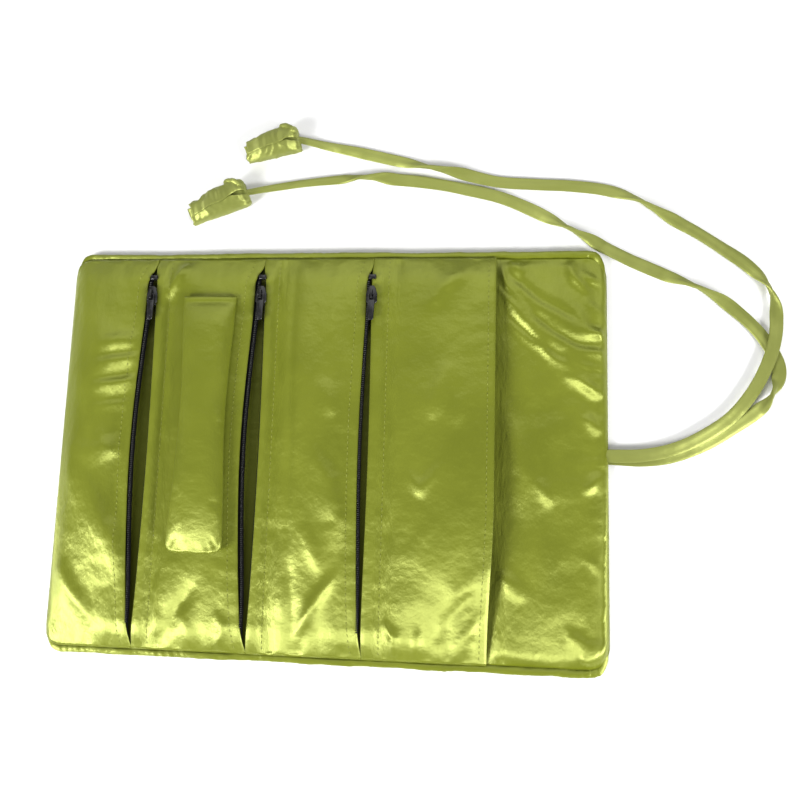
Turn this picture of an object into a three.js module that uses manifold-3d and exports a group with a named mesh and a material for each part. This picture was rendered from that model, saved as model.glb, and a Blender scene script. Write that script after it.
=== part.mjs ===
// Satin jewelry roll lying open, lining up. Millimetres, +Z up, origin at the bottom centre of the roll.
// X runs along the row of five sections, Y across them.
import * as THREE from 'three';
import { mergeVertices } from 'three/addons/utils/BufferGeometryUtils.js';
import Module from 'manifold-3d';

const kernel = await Module();
kernel.setup();

// Overall sizes
const ROLL_LENGTH = 270;
const ROLL_DEPTH = 200;
const SECTION_SHARES = [53.5, 56, 55, 52, 53.5];
const CORNER_RADIUS = 10;
const CORNER_STEPS = 5;
const PIPING_DIAMETER = 4.2;

// Clearances
const FOLD_GAP = 0.6;
const LAYER_GAP = 0.2;
const SEAM_GAP = 0.3;

// Cloth layers
const COVER_THICKNESS = 0.6;
const PADDING_THICKNESS = 1.6;
const LINING_THICKNESS = 0.5;
const FRONT_THICKNESS = 0.7;
const POCKET_ROOM = 5;
const RISE_ALONG = 12;
const RISE_ACROSS = 14;
const SHEET_ROWS = 16;

// Pockets stand fuller in their middle than at their zip, and fall slowly to the near seam
const POCKET_FULL = [3.2, 0, 3.2, 3.2];
const POCKET_NEAR_FALL = [60, 46, 60, 60];
const FULLEST_FROM_MIDDLE = 16;
const FULL_FROM_ZIP = 13;
const SLIP_EDGE_LIFT = 4.8;

// The padded bare section, with a shallow dip across it
const BARE_FULL = 3.6;
const BARE_DIP = 2;
const BARE_DIP_WIDTH = 34;
const BARE_RISE = 8;

// Zips
const ZIP_TO_FOLD = 8;
const TAPE_THICKNESS = 0.5;
const TAPE_SHOWING = 2.2;
const TAPE_UNDER_FRONT = 2.5;
const TAPE_UNDER_STRIP = 1.2;
const COIL_DIAMETER = 1.3;
const COIL_INSET = 0.1;
const SLIT_END = 1.1;
const SLIT_LEFT = [4.4, 4.4, 2.8];
const SLIT_RIGHT = 1.8;
const SLIDER_LENGTH = 9;
const SLIDER_WIDTH = 5.4;
const SLIDER_PLATE = 0.8;
const SLIDER_NECK = 1.4;
const SLIDER_NECK_LENGTH = 3;
const SLIDER_NECK_OFFSET = 2;
const SLIDER_FROM_SEAM = 19.5;
const RUNNING_GAP = 0.3;
const BRIDGE_LENGTH = 4.6;
const BRIDGE_WIDTH = 1;
const BRIDGE_WALL = 0.6;
const BRIDGE_WINDOW = 1.4;
const PULL_WIDTH = 3.6;
const PULL_LENGTH = 13;
const PULL_THICKNESS = 0.7;
const PULL_EYE_LENGTH = 2.7;
const PULL_EYE_WIDTH = 2;
const STOP_SIZE = [3.6, 2.2, 1.9];

// Ring bar and its snap
const BAR_FROM_FOLD = 22.5;
const BAR_FROM_EDGE = 25;
const BAR_LENGTH = 125;
const BAR_WIDTH_SEWN = 25;
const BAR_WIDTH_WAIST = 22.5;
const BAR_WIDTH_FREE = 26;
const BAR_CROWN = 6.2;
const BAR_EDGE = 2.2;
const BAR_WALL = 0.6;
const BAR_REST_GAP = 0.7;
const BAR_SWELL_SEWN = 18;
const BAR_SWELL_FREE = 14;
const BAR_BLUNT = 4;
const SNAP_DIAMETER = 8;
const SNAP_FROM_END = 9;
const SOCKET_HEIGHT = 1.3;
const SOCKET_HOLE = 4.4;
const STUD_POST = 3.2;
const STUD_FLANGE = 0.7;

// Ties
const TIE_WIDTH = 6;
const TIE_THICKNESS = 1.6;
const TIE_STEPS = 44;
const BUD_LENGTH = 30;
const BUD_WIDTH = 15;
const BUD_HEIGHT = 10.5;
const BUD_A_TURN = 194.5;
const BUD_B_TURN = 202.8;

// Heights of the layers, counted up from the table
const paddingBottom = COVER_THICKNESS + LAYER_GAP;
const liningBottom = paddingBottom + PADDING_THICKNESS + LAYER_GAP;
const liningTop = liningBottom + LINING_THICKNESS;
const sewnTop = liningTop + LAYER_GAP + TAPE_THICKNESS + LAYER_GAP + FRONT_THICKNESS;
const crownTop = liningTop + POCKET_ROOM + FRONT_THICKNESS;
const tapeDrop = FRONT_THICKNESS + LAYER_GAP;
const tapeTop = crownTop - tapeDrop;
const coilCentre = tapeTop + LAYER_GAP + COIL_DIAMETER / 2;

// Section edges and fold lines along X
const allShares = SECTION_SHARES.reduce((sum, share) => sum + share, 0);
const edges = [-ROLL_LENGTH / 2];
for (const share of SECTION_SHARES) {
  edges.push(edges[edges.length - 1] + ROLL_LENGTH * share / allShares);
}
const LAST = SECTION_SHARES.length;
const inset = PIPING_DIAMETER + SEAM_GAP;
const clothReach = ROLL_DEPTH / 2 - inset;
const clothCorner = CORNER_RADIUS - inset;
const sliderY = clothReach - SLIDER_FROM_SEAM;
const barX = edges[1] + BAR_FROM_FOLD;
const barSewnY = ROLL_DEPTH / 2 - BAR_FROM_EDGE;
const barFreeY = barSewnY - BAR_LENGTH;

const part = new THREE.Group();
part.name = 'jewelry_roll';

const SATIN = { color: 0x8f9540, roughness: 0.4 };
const LINING = { color: 0x969c48, roughness: 0.4 };
const WADDING = { color: 0xe8e4d8, roughness: 0.95 };
const BLACK = { color: 0x141416, roughness: 0.6 };
const METAL = { color: 0xb9b9b4, roughness: 0.3, metalness: 1 };

function add(name, geometry, look) {
  const mesh = new THREE.Mesh(geometry, new THREE.MeshStandardMaterial(look));
  mesh.name = name;
  part.add(mesh);
  return mesh;
}

function clean(geometry) {
  geometry.deleteAttribute('normal');
  geometry.deleteAttribute('uv');
  return mergeVertices(geometry, 1e-5);
}

function toSolid(geometry) {
  const bare = clean(geometry.clone());
  return new kernel.Manifold(new kernel.Mesh({
    numProp: 3,
    vertProperties: new Float32Array(bare.attributes.position.array),
    triVerts: new Uint32Array(bare.index.array),
  }));
}

function toGeometry(solid) {
  const mesh = solid.getMesh();
  const geometry = new THREE.BufferGeometry();
  const points = new Float32Array(mesh.numVert * 3);
  for (let i = 0; i < mesh.numVert; i += 1) {
    for (let axis = 0; axis < 3; axis += 1) {
      points[i * 3 + axis] = mesh.vertProperties[i * mesh.numProp + axis];
    }
  }
  geometry.setAttribute('position', new THREE.BufferAttribute(points, 3));
  geometry.setIndex(new THREE.BufferAttribute(new Uint32Array(mesh.triVerts), 1));
  return geometry;
}

function remap(geometry, place) {
  const bare = clean(geometry);
  const points = bare.attributes.position;
  for (let i = 0; i < points.count; i += 1) {
    const at = place(points.getX(i), points.getY(i), points.getZ(i));
    points.setXYZ(i, at[0], at[1], at[2]);
  }
  return bare;
}

// Rises from 0 to 1 with a rounded shoulder.
function shoulder(t) {
  return Math.sin(Math.PI / 2 * Math.min(Math.max(t, 0), 1));
}

// Half the depth of the cloth at x, less at the rounded corners.
function reachAt(x) {
  const fromEnd = ROLL_LENGTH / 2 - inset - Math.abs(x);
  const short = Math.max(clothCorner - fromEnd, 0);
  return clothReach - clothCorner + Math.sqrt(Math.max(clothCorner ** 2 - short ** 2, 0));
}

function leftOf(k) {
  return k === 0 ? edges[0] + inset : edges[k] + FOLD_GAP / 2;
}

function rightOf(k) {
  return k === LAST - 1 ? edges[LAST] - inset : edges[k + 1] - FOLD_GAP / 2;
}

// A box whose underside is cut along the same diagonals as its top, so that stacked cloths keep their gap
function gridBox(columns, rows) {
  const box = new THREE.BoxGeometry(1, 2, 1, columns, rows, 1);
  const underside = box.groups[5];
  for (let i = underside.start; i < underside.start + underside.count; i += 6) {
    const [a, b, c, d] = [0, 1, 4, 5].map((step) => box.index.getX(i + step));
    [a, b, c, a, c, d].forEach((corner, step) => box.index.setX(i + step, corner));
  }
  return box;
}

// A soft slab between two heights. Its two edges are functions of t, from -1 to 1 across the roll.
function slab(leftAt, rightAt, bottomAt, topAt, columns, rows, crowd = 1) {
  return remap(gridBox(columns, rows), (u, t, w) => {
    const share = (u + 0.5) ** crowd;
    const x = THREE.MathUtils.lerp(leftAt(t), rightAt(t), share);
    const y = t * reachAt(x);
    return [x, y, THREE.MathUtils.lerp(bottomAt(x, y), topAt(x, y), w + 0.5)];
  });
}

// A thin cloth whose top follows topAt
function sheet(leftAt, rightAt, topAt, thickness, columns, rows, crowd = 1) {
  return slab(leftAt, rightAt, (x, y) => topAt(x, y) - thickness, topAt, columns, rows, crowd);
}

// A path whose stations are given one by one, so straight runs need only two.
class Stations extends THREE.Curve {
  constructor(points, tangents) {
    super();
    this.points = points;
    this.tangents = tangents;
  }

  getPointAt(u, target = new THREE.Vector3()) {
    return target.copy(this.points[Math.round(u * (this.points.length - 1))]);
  }

  getTangentAt(u, target = new THREE.Vector3()) {
    return target.copy(this.tangents[Math.round(u * (this.points.length - 1))]);
  }
}

function roundSection(diameter, sides) {
  const shape = new THREE.Shape();
  for (let i = 0; i < sides; i += 1) {
    const angle = (i + 0.5) / sides * Math.PI * 2;
    const x = Math.cos(angle) * diameter / 2;
    const y = Math.sin(angle) * diameter / 2;
    if (i === 0) shape.moveTo(x, y);
    else shape.lineTo(x, y);
  }
  return shape;
}

function tube(points, tangents, section) {
  const path = new Stations(points, tangents);
  return clean(new THREE.ExtrudeGeometry(section, { extrudePath: path, steps: points.length - 1 }));
}

function straightTube(from, to, section) {
  const along = to.clone().sub(from).normalize();
  return tube([from, to], [along, along], section);
}

// Flat layers of a section, round only at the roll's own corners
function cornerPoints(x, y, toX, toY, round) {
  if (!round) return [new THREE.Vector2(x, y)];
  const first = Math.atan2(-toY, -toX) - Math.PI / 4;
  const points = [];
  for (let i = 0; i <= CORNER_STEPS; i += 1) {
    const angle = first + Math.PI / 2 * i / CORNER_STEPS;
    const atX = x + toX * clothCorner + Math.cos(angle) * clothCorner;
    const atY = y + toY * clothCorner + Math.sin(angle) * clothCorner;
    points.push(new THREE.Vector2(atX, atY));
  }
  return points;
}

function sectionShape(k) {
  const left = leftOf(k);
  const right = rightOf(k);
  const roundLeft = k === 0;
  const roundRight = k === LAST - 1;
  return new THREE.Shape([
    ...cornerPoints(left, -clothReach, 1, 1, roundLeft),
    ...cornerPoints(right, -clothReach, -1, 1, roundRight),
    ...cornerPoints(right, clothReach, -1, -1, roundRight),
    ...cornerPoints(left, clothReach, 1, -1, roundLeft),
  ]);
}

function layer(k, bottom, thickness) {
  const slab = new THREE.ExtrudeGeometry(sectionShape(k), { depth: thickness, bevelEnabled: false });
  return clean(slab.translate(0, 0, bottom));
}

for (let k = 0; k < LAST; k += 1) {
  add(`cover_${k + 1}`, layer(k, 0, COVER_THICKNESS), SATIN);
}
for (let k = 0; k < LAST - 1; k += 1) {
  add(`padding_${k + 1}`, layer(k, paddingBottom, PADDING_THICKNESS), WADDING);
  add(`lining_${k + 1}`, layer(k, liningBottom, LINING_THICKNESS), LINING);
}

// The bare section at the end: its padding swells between the seams and dips across the middle
const bareLeft = leftOf(LAST - 1);
const bareRight = rightOf(LAST - 1);

function bareSwell(x, y) {
  const fromSide = Math.min(x - bareLeft, bareRight - x);
  const rise = shoulder(fromSide / BARE_RISE) * shoulder((reachAt(x) - Math.abs(y)) / BARE_RISE);
  return rise * (BARE_FULL - BARE_DIP * Math.exp(-((y / BARE_DIP_WIDTH) ** 2)));
}

function bareLayer(bottomAt, topAt) {
  return slab(() => bareLeft, () => bareRight, bottomAt, topAt, 12, SHEET_ROWS, 0.7);
}

const bareLiningTop = (x, y) => liningTop + bareSwell(x, y);
const bareLiningBottom = (x, y) => bareLiningTop(x, y) - LINING_THICKNESS;
const barePaddingTop = (x, y) => bareLiningBottom(x, y) - LAYER_GAP;
add(`padding_${LAST}`, bareLayer(() => paddingBottom, barePaddingTop), WADDING);
add(`lining_${LAST}`, bareLayer(bareLiningBottom, bareLiningTop), LINING);

// Piping round the edge
const PIPING_SIDES = 8;
const pipingSection = roundSection(PIPING_DIAMETER / Math.cos(Math.PI / PIPING_SIDES), PIPING_SIDES);
const pipingZ = PIPING_DIAMETER / 2;
const pipingY = ROLL_DEPTH / 2 - PIPING_DIAMETER / 2;
const pipingX = ROLL_LENGTH / 2 - PIPING_DIAMETER / 2;
const pipingCorner = CORNER_RADIUS - PIPING_DIAMETER / 2;

function endPiping(side, foldX) {
  const points = [];
  const tangents = [];
  const station = (x, y, tx, ty) => {
    points.push(new THREE.Vector3(side * x, y, pipingZ));
    tangents.push(new THREE.Vector3(side * tx, ty, 0));
  };
  station(side * foldX, pipingY, 1, 0);
  for (let i = 0; i <= CORNER_STEPS; i += 1) {
    const angle = Math.PI / 2 * (1 - i / CORNER_STEPS);
    const x = pipingX - pipingCorner + Math.cos(angle) * pipingCorner;
    const y = pipingY - pipingCorner + Math.sin(angle) * pipingCorner;
    station(x, y, Math.sin(angle), -Math.cos(angle));
  }
  for (let i = 0; i <= CORNER_STEPS; i += 1) {
    const angle = -Math.PI / 2 * i / CORNER_STEPS;
    const x = pipingX - pipingCorner + Math.cos(angle) * pipingCorner;
    const y = -pipingY + pipingCorner + Math.sin(angle) * pipingCorner;
    station(x, y, Math.sin(angle), -Math.cos(angle));
  }
  station(side * foldX, -pipingY, -1, 0);
  return tube(points, tangents, pipingSection);
}

add('piping_1', endPiping(-1, edges[1] - FOLD_GAP / 2), SATIN);
add(`piping_${LAST}`, endPiping(1, edges[LAST - 1] + FOLD_GAP / 2), SATIN);
for (let k = 1; k < LAST - 1; k += 1) {
  for (const [side, label] of [[1, 'top'], [-1, 'bottom']]) {
    const from = new THREE.Vector3(leftOf(k), side * pipingY, pipingZ);
    const to = new THREE.Vector3(rightOf(k), side * pipingY, pipingZ);
    add(`piping_${label}_${k + 1}`, straightTube(from, to, pipingSection), SATIN);
  }
}

// Pockets: the cloth rises from its sewn edges to a crown
const ZIP_POCKETS = SLIT_LEFT.length;

function zipAt(k) {
  return edges[k + 1] - ZIP_TO_FOLD;
}

function fullness(k, x, y) {
  const to = k < ZIP_POCKETS ? zipAt(k) - FULL_FROM_ZIP : rightOf(k) + SLIP_EDGE_LIFT;
  const share = THREE.MathUtils.clamp((x - leftOf(k)) / (to - leftOf(k)), 0, 1);
  const middle = Math.max(Math.sin(Math.PI * share), 0) ** 0.8;
  const room = reachAt(x);
  const away = y + FULLEST_FROM_MIDDLE;
  const far = away > 0 ? away / (room + FULLEST_FROM_MIDDLE) : -away / (room - FULLEST_FROM_MIDDLE);
  const full = POCKET_FULL[k] * Math.cos(Math.PI / 2 * Math.min(far, 1));
  const seam = room - Math.abs(y);
  const fall = y < 0 ? shoulder(seam / POCKET_NEAR_FALL[k]) - shoulder(seam / RISE_ACROSS) : 0;
  return middle * (full + (crownTop - sewnTop) * fall);
}

function riseAcross(x, y) {
  return shoulder((reachAt(x) - Math.abs(y)) / RISE_ACROSS);
}

function pocketTop(k, x, y, stripFrom = Infinity) {
  const rise = shoulder((x - leftOf(k)) / RISE_ALONG);
  const fall = shoulder((rightOf(k) - x) / Math.max(rightOf(k) - stripFrom, 1e-9));
  const share = x > stripFrom ? fall : rise;
  return sewnTop + (crownTop - sewnTop) * share * riseAcross(x, y);
}

// Half the slit of a zip at t, from -1 to 1 across the roll
function slit(widest, t) {
  const straight = sliderY / clothReach;
  const share = Math.min(Math.abs(t) / straight, 1);
  return SLIT_END + (widest - SLIT_END) * Math.cos(Math.PI / 2 * share) ** 1.3;
}

function shieldShape(length, width) {
  const shape = new THREE.Shape();
  shape.moveTo(-width / 2, -length / 2 + 1);
  shape.lineTo(-width / 2 + 1, -length / 2);
  shape.lineTo(width / 2 - 1, -length / 2);
  shape.lineTo(width / 2, -length / 2 + 1);
  shape.lineTo(width / 2, 0.5);
  shape.lineTo(width / 2 - 1, length / 2 - 0.8);
  shape.lineTo(width / 2 - 1.8, length / 2);
  shape.lineTo(-width / 2 + 1.8, length / 2);
  shape.lineTo(-width / 2 + 1, length / 2 - 0.8);
  shape.lineTo(-width / 2, 0.5);
  shape.closePath();
  return shape;
}

function block(sizeX, sizeY, sizeZ, x, y, z) {
  return toSolid(new THREE.BoxGeometry(sizeX, sizeY, sizeZ).translate(x, y, z));
}

const plateBelow = tapeTop - TAPE_THICKNESS - RUNNING_GAP;
const plateAbove = coilCentre + COIL_DIAMETER / 2 + RUNNING_GAP;
const sliderTop = plateAbove + SLIDER_PLATE;
const pullAxisZ = sliderTop + LAYER_GAP + BRIDGE_WINDOW / 2;

function sliderSolid(zipX) {
  const plate = new THREE.ExtrudeGeometry(shieldShape(SLIDER_LENGTH, SLIDER_WIDTH), {
    depth: SLIDER_PLATE,
    bevelEnabled: false,
  });
  const lower = toSolid(plate.clone().translate(zipX, sliderY, plateBelow - SLIDER_PLATE));
  const upper = toSolid(plate.translate(zipX, sliderY, plateAbove));
  const neckHeight = plateAbove - plateBelow + SLIDER_PLATE;
  const neckZ = (plateAbove + plateBelow) / 2;
  const neckY = sliderY - SLIDER_NECK_OFFSET;
  const neck = block(SLIDER_NECK, SLIDER_NECK_LENGTH, neckHeight, zipX, neckY, neckZ);
  const bridgeHeight = LAYER_GAP + BRIDGE_WINDOW + BRIDGE_WALL + SLIDER_PLATE / 2;
  const bridgeZ = sliderTop - SLIDER_PLATE / 2 + bridgeHeight / 2;
  const bridge = block(BRIDGE_WIDTH, BRIDGE_LENGTH, bridgeHeight, zipX, sliderY, bridgeZ);
  const window = block(BRIDGE_WIDTH * 2, BRIDGE_WINDOW, BRIDGE_WINDOW, zipX, sliderY, pullAxisZ);
  return lower.add(neck).add(upper).add(bridge).subtract(window);
}

function pullGeometry(zipX) {
  const bar = PULL_THICKNESS / 2;
  const outline = new THREE.Shape();
  const half = PULL_WIDTH / 2;
  outline.moveTo(-half, bar);
  outline.lineTo(half, bar);
  outline.lineTo(half * 0.8, -PULL_LENGTH + 1);
  outline.lineTo(half * 0.5, -PULL_LENGTH);
  outline.lineTo(-half * 0.5, -PULL_LENGTH);
  outline.lineTo(-half * 0.8, -PULL_LENGTH + 1);
  outline.closePath();
  const plate = new THREE.ExtrudeGeometry(outline, { depth: PULL_THICKNESS, bevelEnabled: false });
  const solid = toSolid(plate.translate(zipX, sliderY, pullAxisZ - bar));
  const eyeY = sliderY - bar - PULL_EYE_LENGTH / 2;
  const eye = block(PULL_EYE_WIDTH, PULL_EYE_LENGTH, PULL_THICKNESS * 2, zipX, eyeY, pullAxisZ);
  return toGeometry(solid.subtract(eye));
}

function coilGeometry(k, xAt) {
  const points = [];
  const tangents = [];
  const rows = SHEET_ROWS - 2;
  for (let i = 0; i <= rows; i += 1) {
    const t = 1 - 2 * (i + 1) / SHEET_ROWS;
    const x = xAt(t);
    const y = t * clothReach;
    const z = pocketTop(k, x, y) - tapeDrop + LAYER_GAP + COIL_DIAMETER / 2;
    points.push(new THREE.Vector3(x, y, z));
  }
  for (let i = 0; i <= rows; i += 1) {
    const before = points[Math.max(i - 1, 0)];
    const after = points[Math.min(i + 1, rows)];
    tangents.push(after.clone().sub(before).normalize());
  }
  return tube(points, tangents, roundSection(COIL_DIAMETER, 6));
}

for (let k = 0; k < ZIP_POCKETS; k += 1) {
  const n = k + 1;
  const zipX = zipAt(k);
  const left = leftOf(k);
  const right = rightOf(k);
  const slitLeft = (t) => zipX - slit(SLIT_LEFT[k], t);
  const slitRight = (t) => zipX + slit(SLIT_RIGHT, t);
  const frontEdge = (t) => slitLeft(t) - TAPE_SHOWING;
  const stripEdge = (t) => slitRight(t) + TAPE_SHOWING;
  const widestStrip = zipX + SLIT_RIGHT + TAPE_SHOWING;
  const top = (x, y) => pocketTop(k, x, y, widestStrip);
  const tape = (x, y) => top(x, y) - tapeDrop;
  const front = (x, y) => top(x, y) + fullness(k, x, y);

  add(`pocket_front_${n}`, sheet(() => left, frontEdge, front, FRONT_THICKNESS, 9, SHEET_ROWS, 1.7), LINING);
  add(`pocket_strip_${n}`, sheet(stripEdge, () => right, top, FRONT_THICKNESS, 3, SHEET_ROWS), LINING);
  const tapeLeft = (t) => frontEdge(t) - TAPE_UNDER_FRONT;
  const tapeRight = (t) => stripEdge(t) + TAPE_UNDER_STRIP;
  add(`zip_tape_left_${n}`, sheet(tapeLeft, slitLeft, tape, TAPE_THICKNESS, 1, SHEET_ROWS), BLACK);
  add(`zip_tape_right_${n}`, sheet(slitRight, tapeRight, tape, TAPE_THICKNESS, 3, SHEET_ROWS), BLACK);
  const coilOff = COIL_INSET + COIL_DIAMETER / 2;
  add(`zip_coil_left_${n}`, coilGeometry(k, (t) => slitLeft(t) - coilOff), BLACK);
  add(`zip_coil_right_${n}`, coilGeometry(k, (t) => slitRight(t) + coilOff), BLACK);
  add(`zip_slider_${n}`, toGeometry(sliderSolid(zipX)), BLACK);
  add(`zip_pull_${n}`, pullGeometry(zipX), BLACK);
}

// Slip pocket, open to the right
const SLIP = 3;
add('slip_pocket_front', sheet(
  () => leftOf(SLIP),
  () => rightOf(SLIP),
  (x, y) => pocketTop(SLIP, x, y) + fullness(SLIP, x, y),
  FRONT_THICKNESS,
  9,
  SHEET_ROWS,
  1.7,
), LINING);

// End stop across both coil rows
function stopGeometry(k, zipX) {
  const [width, length, height] = STOP_SIZE;
  const y = clothReach * (1 - 2 / SHEET_ROWS) + RUNNING_GAP * 2 + length / 2;
  const stop = new THREE.BoxGeometry(width, length, height).translate(zipX, y, 0);
  return remap(stop, (x, atY, z) => {
    const tapeSurface = pocketTop(k, x, atY) - tapeDrop;
    return [x, atY, tapeSurface + LAYER_GAP + height / 2 + z];
  });
}

for (let k = 0; k < ZIP_POCKETS; k += 1) {
  add(`zip_stop_${k + 1}`, stopGeometry(k, zipAt(k)), BLACK);
}

// Ring bar: a crowned satin tube over wadding, thin where it is sewn down
const snapY = barFreeY + SNAP_FROM_END;
const socketBottom = crownTop + LAYER_GAP;
const socketTop = socketBottom + SOCKET_HEIGHT;
const flangeBottom = socketTop + LAYER_GAP;
const flangeTop = flangeBottom + STUD_FLANGE;
const barUnderSewn = crownTop + BAR_REST_GAP;
const barUnderSnap = flangeTop + LAYER_GAP;

function barUnder(y) {
  return barUnderSewn + (barUnderSnap - barUnderSewn) * (barSewnY - y) / (barSewnY - snapY);
}

function barHalfWidth(y) {
  const share = (barSewnY - y) / BAR_LENGTH;
  const ends = THREE.MathUtils.lerp(BAR_WIDTH_SEWN, BAR_WIDTH_FREE, share);
  const dip = (BAR_WIDTH_SEWN + BAR_WIDTH_FREE) / 2 - BAR_WIDTH_WAIST;
  return (ends - dip * Math.sin(Math.PI * share)) / 2;
}

function barForm(skin, fromY, toY) {
  return remap(new THREE.BoxGeometry(2, 1, 1, 8, 16, 1), (u, s, w) => {
    let y = THREE.MathUtils.lerp(barFreeY, barSewnY, s + 0.5);
    if (s < -0.499) y = toY;
    if (s > 0.499) y = fromY;
    const swellSewn = shoulder((barSewnY - y) / BAR_SWELL_SEWN);
    const swell = swellSewn * shoulder((y - barFreeY + BAR_BLUNT) / BAR_SWELL_FREE);
    const crown = (BAR_CROWN - BAR_EDGE) * Math.sqrt(Math.max(1 - u * u, 0)) * swell;
    const thickness = BAR_EDGE + crown - skin * 2;
    const x = barX + u * (barHalfWidth(y) - skin);
    return [x, y, barUnder(y) + skin + (w + 0.5) * thickness];
  });
}

const barOutside = toSolid(barForm(0, barSewnY, barFreeY));
const barInside = toSolid(barForm(BAR_WALL, barSewnY + 1, barFreeY + BAR_WALL));
add('ring_bar_sleeve', toGeometry(barOutside.subtract(barInside)), SATIN);
const coreSkin = BAR_WALL + SEAM_GAP;
add('ring_bar_core', barForm(coreSkin, barSewnY - SEAM_GAP, barFreeY + coreSkin), WADDING);

function turned(profile, x, y) {
  const points = profile.map(([radius, z]) => new THREE.Vector2(radius, z));
  return clean(new THREE.LatheGeometry(points, 16).rotateX(Math.PI / 2).translate(x, y, 0));
}

add('snap_socket', turned([
  [SOCKET_HOLE / 2, socketBottom],
  [SNAP_DIAMETER / 2, socketBottom],
  [SNAP_DIAMETER / 2, socketTop],
  [SOCKET_HOLE / 2, socketTop],
  [SOCKET_HOLE / 2, socketBottom],
], barX, snapY), METAL);
add('snap_stud', turned([
  [0, socketBottom + RUNNING_GAP],
  [STUD_POST / 2, socketBottom + RUNNING_GAP],
  [STUD_POST / 2, flangeBottom],
  [SNAP_DIAMETER / 2, flangeBottom],
  [SNAP_DIAMETER / 2, flangeTop],
  [0, flangeTop],
], barX, snapY), METAL);

// Ties: flat straps from the middle of the right edge, one stacked on the other where they leave it
const tableZ = LAYER_GAP + TIE_THICKNESS / 2;
const stackedZ = tableZ + TIE_THICKNESS + LAYER_GAP * 2;

// Each point: past the right edge and up from the middle, in percent of half the roll's size, and its level:
// 0 on the table, 1 on top of the other tie.
const ROUTE_A = [
  [0, 0.5, 1], [10.4, 1, 1], [20.7, 4, 1], [30.4, 10, 1], [40, 19, 1], [47.4, 31, 1],
  [52.6, 44, 1], [55.6, 57, 1], [56.3, 70, 0.5], [54.1, 82, 0], [48.1, 92, 0], [39.3, 101, 0],
  [29.6, 110, 0], [19.3, 118, 0], [9.6, 126, 0], [-0.7, 131, 0], [-13.3, 133.5, 0],
  [-25.2, 134.5, 0], [-38.5, 136, 0], [-51.1, 140, 0], [-64.4, 144, 0], [-77.8, 148.5, 0],
  [-91.1, 153, 0], [-103.7, 157, 0], [-114.8, 160, 1],
];
const ROUTE_B = [
  [0, -0.5, 0], [10.4, -1, 0], [20.7, 1, 0], [31.9, 7, 0], [41.5, 15, 0], [50.4, 24, 0],
  [55.6, 34, 0], [57, 43, 0], [54.1, 53, 0], [48.9, 63, 0], [40.7, 73, 0], [31.1, 81, 0],
  [19.3, 88, 0], [8.1, 95, 0], [-3, 103, 0], [-14.8, 112, 0], [-26.7, 121, 0], [-38.5, 128, 0],
  [-51.1, 132.5, 0], [-63.7, 136, 0], [-77.8, 138.5, 0], [-91.1, 139.5, 0], [-106.7, 138, 0],
  [-120, 136, 0], [-134.1, 132, 1],
];

function place([past, percent, level]) {
  const z = THREE.MathUtils.lerp(tableZ, stackedZ, level);
  const x = ROLL_LENGTH / 2 * (1 + past / 100) + SEAM_GAP;
  return new THREE.Vector3(x, ROLL_DEPTH / 2 * percent / 100, z);
}

function strap(route) {
  const flat = TIE_THICKNESS / 2;
  const half = TIE_WIDTH / 2;
  const section = new THREE.Shape([
    new THREE.Vector2(flat, half * 0.75),
    new THREE.Vector2(flat * 0.5, half),
    new THREE.Vector2(-flat * 0.5, half),
    new THREE.Vector2(-flat, half * 0.75),
    new THREE.Vector2(-flat, -half * 0.75),
    new THREE.Vector2(-flat * 0.5, -half),
    new THREE.Vector2(flat * 0.5, -half),
    new THREE.Vector2(flat, -half * 0.75),
  ]);
  const path = new THREE.CatmullRomCurve3(route.map(place));
  return clean(new THREE.ExtrudeGeometry(section, { extrudePath: path, steps: TIE_STEPS }));
}

// A folded bud: a tight neck at the tie, a full middle and a blunt folded tip
function bud(route, turnDegrees) {
  const neck = place(route[route.length - 1]);
  const angle = THREE.MathUtils.degToRad(turnDegrees);
  return remap(new THREE.SphereGeometry(1, 18, 12), (px, py, pz) => {
    const along = (1 - py) / 2;
    const round = Math.hypot(px, pz);
    const turn = Math.atan2(pz, px);
    const girth = (0.5 + 0.5 * Math.sin(Math.PI * Math.min(along * 1.15, 1))) * round ** 0.55;
    const petals = 1 + 0.1 * Math.cos(3 * turn) * along;
    const side = girth * petals * Math.cos(turn) * BUD_WIDTH / 2;
    const middle = THREE.MathUtils.lerp(neck.z, BUD_HEIGHT / 2 + LAYER_GAP, Math.min(along * 3, 1));
    const up = girth * Math.sin(turn) * Math.min(BUD_HEIGHT / 2, middle - LAYER_GAP);
    const out = SEAM_GAP + along * BUD_LENGTH;
    const x = neck.x + Math.cos(angle) * out - Math.sin(angle) * side;
    const y = neck.y + Math.sin(angle) * out + Math.cos(angle) * side;
    return [x, y, middle + up];
  });
}

add('tie_a', strap(ROUTE_A), SATIN);
add('tie_b', strap(ROUTE_B), SATIN);
add('tie_bud_a', bud(ROUTE_A, BUD_A_TURN), SATIN);
add('tie_bud_b', bud(ROUTE_B, BUD_B_TURN), SATIN);

export default part;
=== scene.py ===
# %% [markdown]
# A satin jewelry roll lies open on a table with its lining up. The CAD model already fixes its size,
# its bodies and its joints, so this lesson only gives each piece its real look.
# Everything is in metres in the CAD frame. Sizes are written in millimetres and multiplied by MM.

# %% Load the frame
import math
from functools import partial

import bmesh
import bpy
import numpy as np
from mathutils import Matrix, Vector, noise
from mathutils.bvhtree import BVHTree


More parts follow.
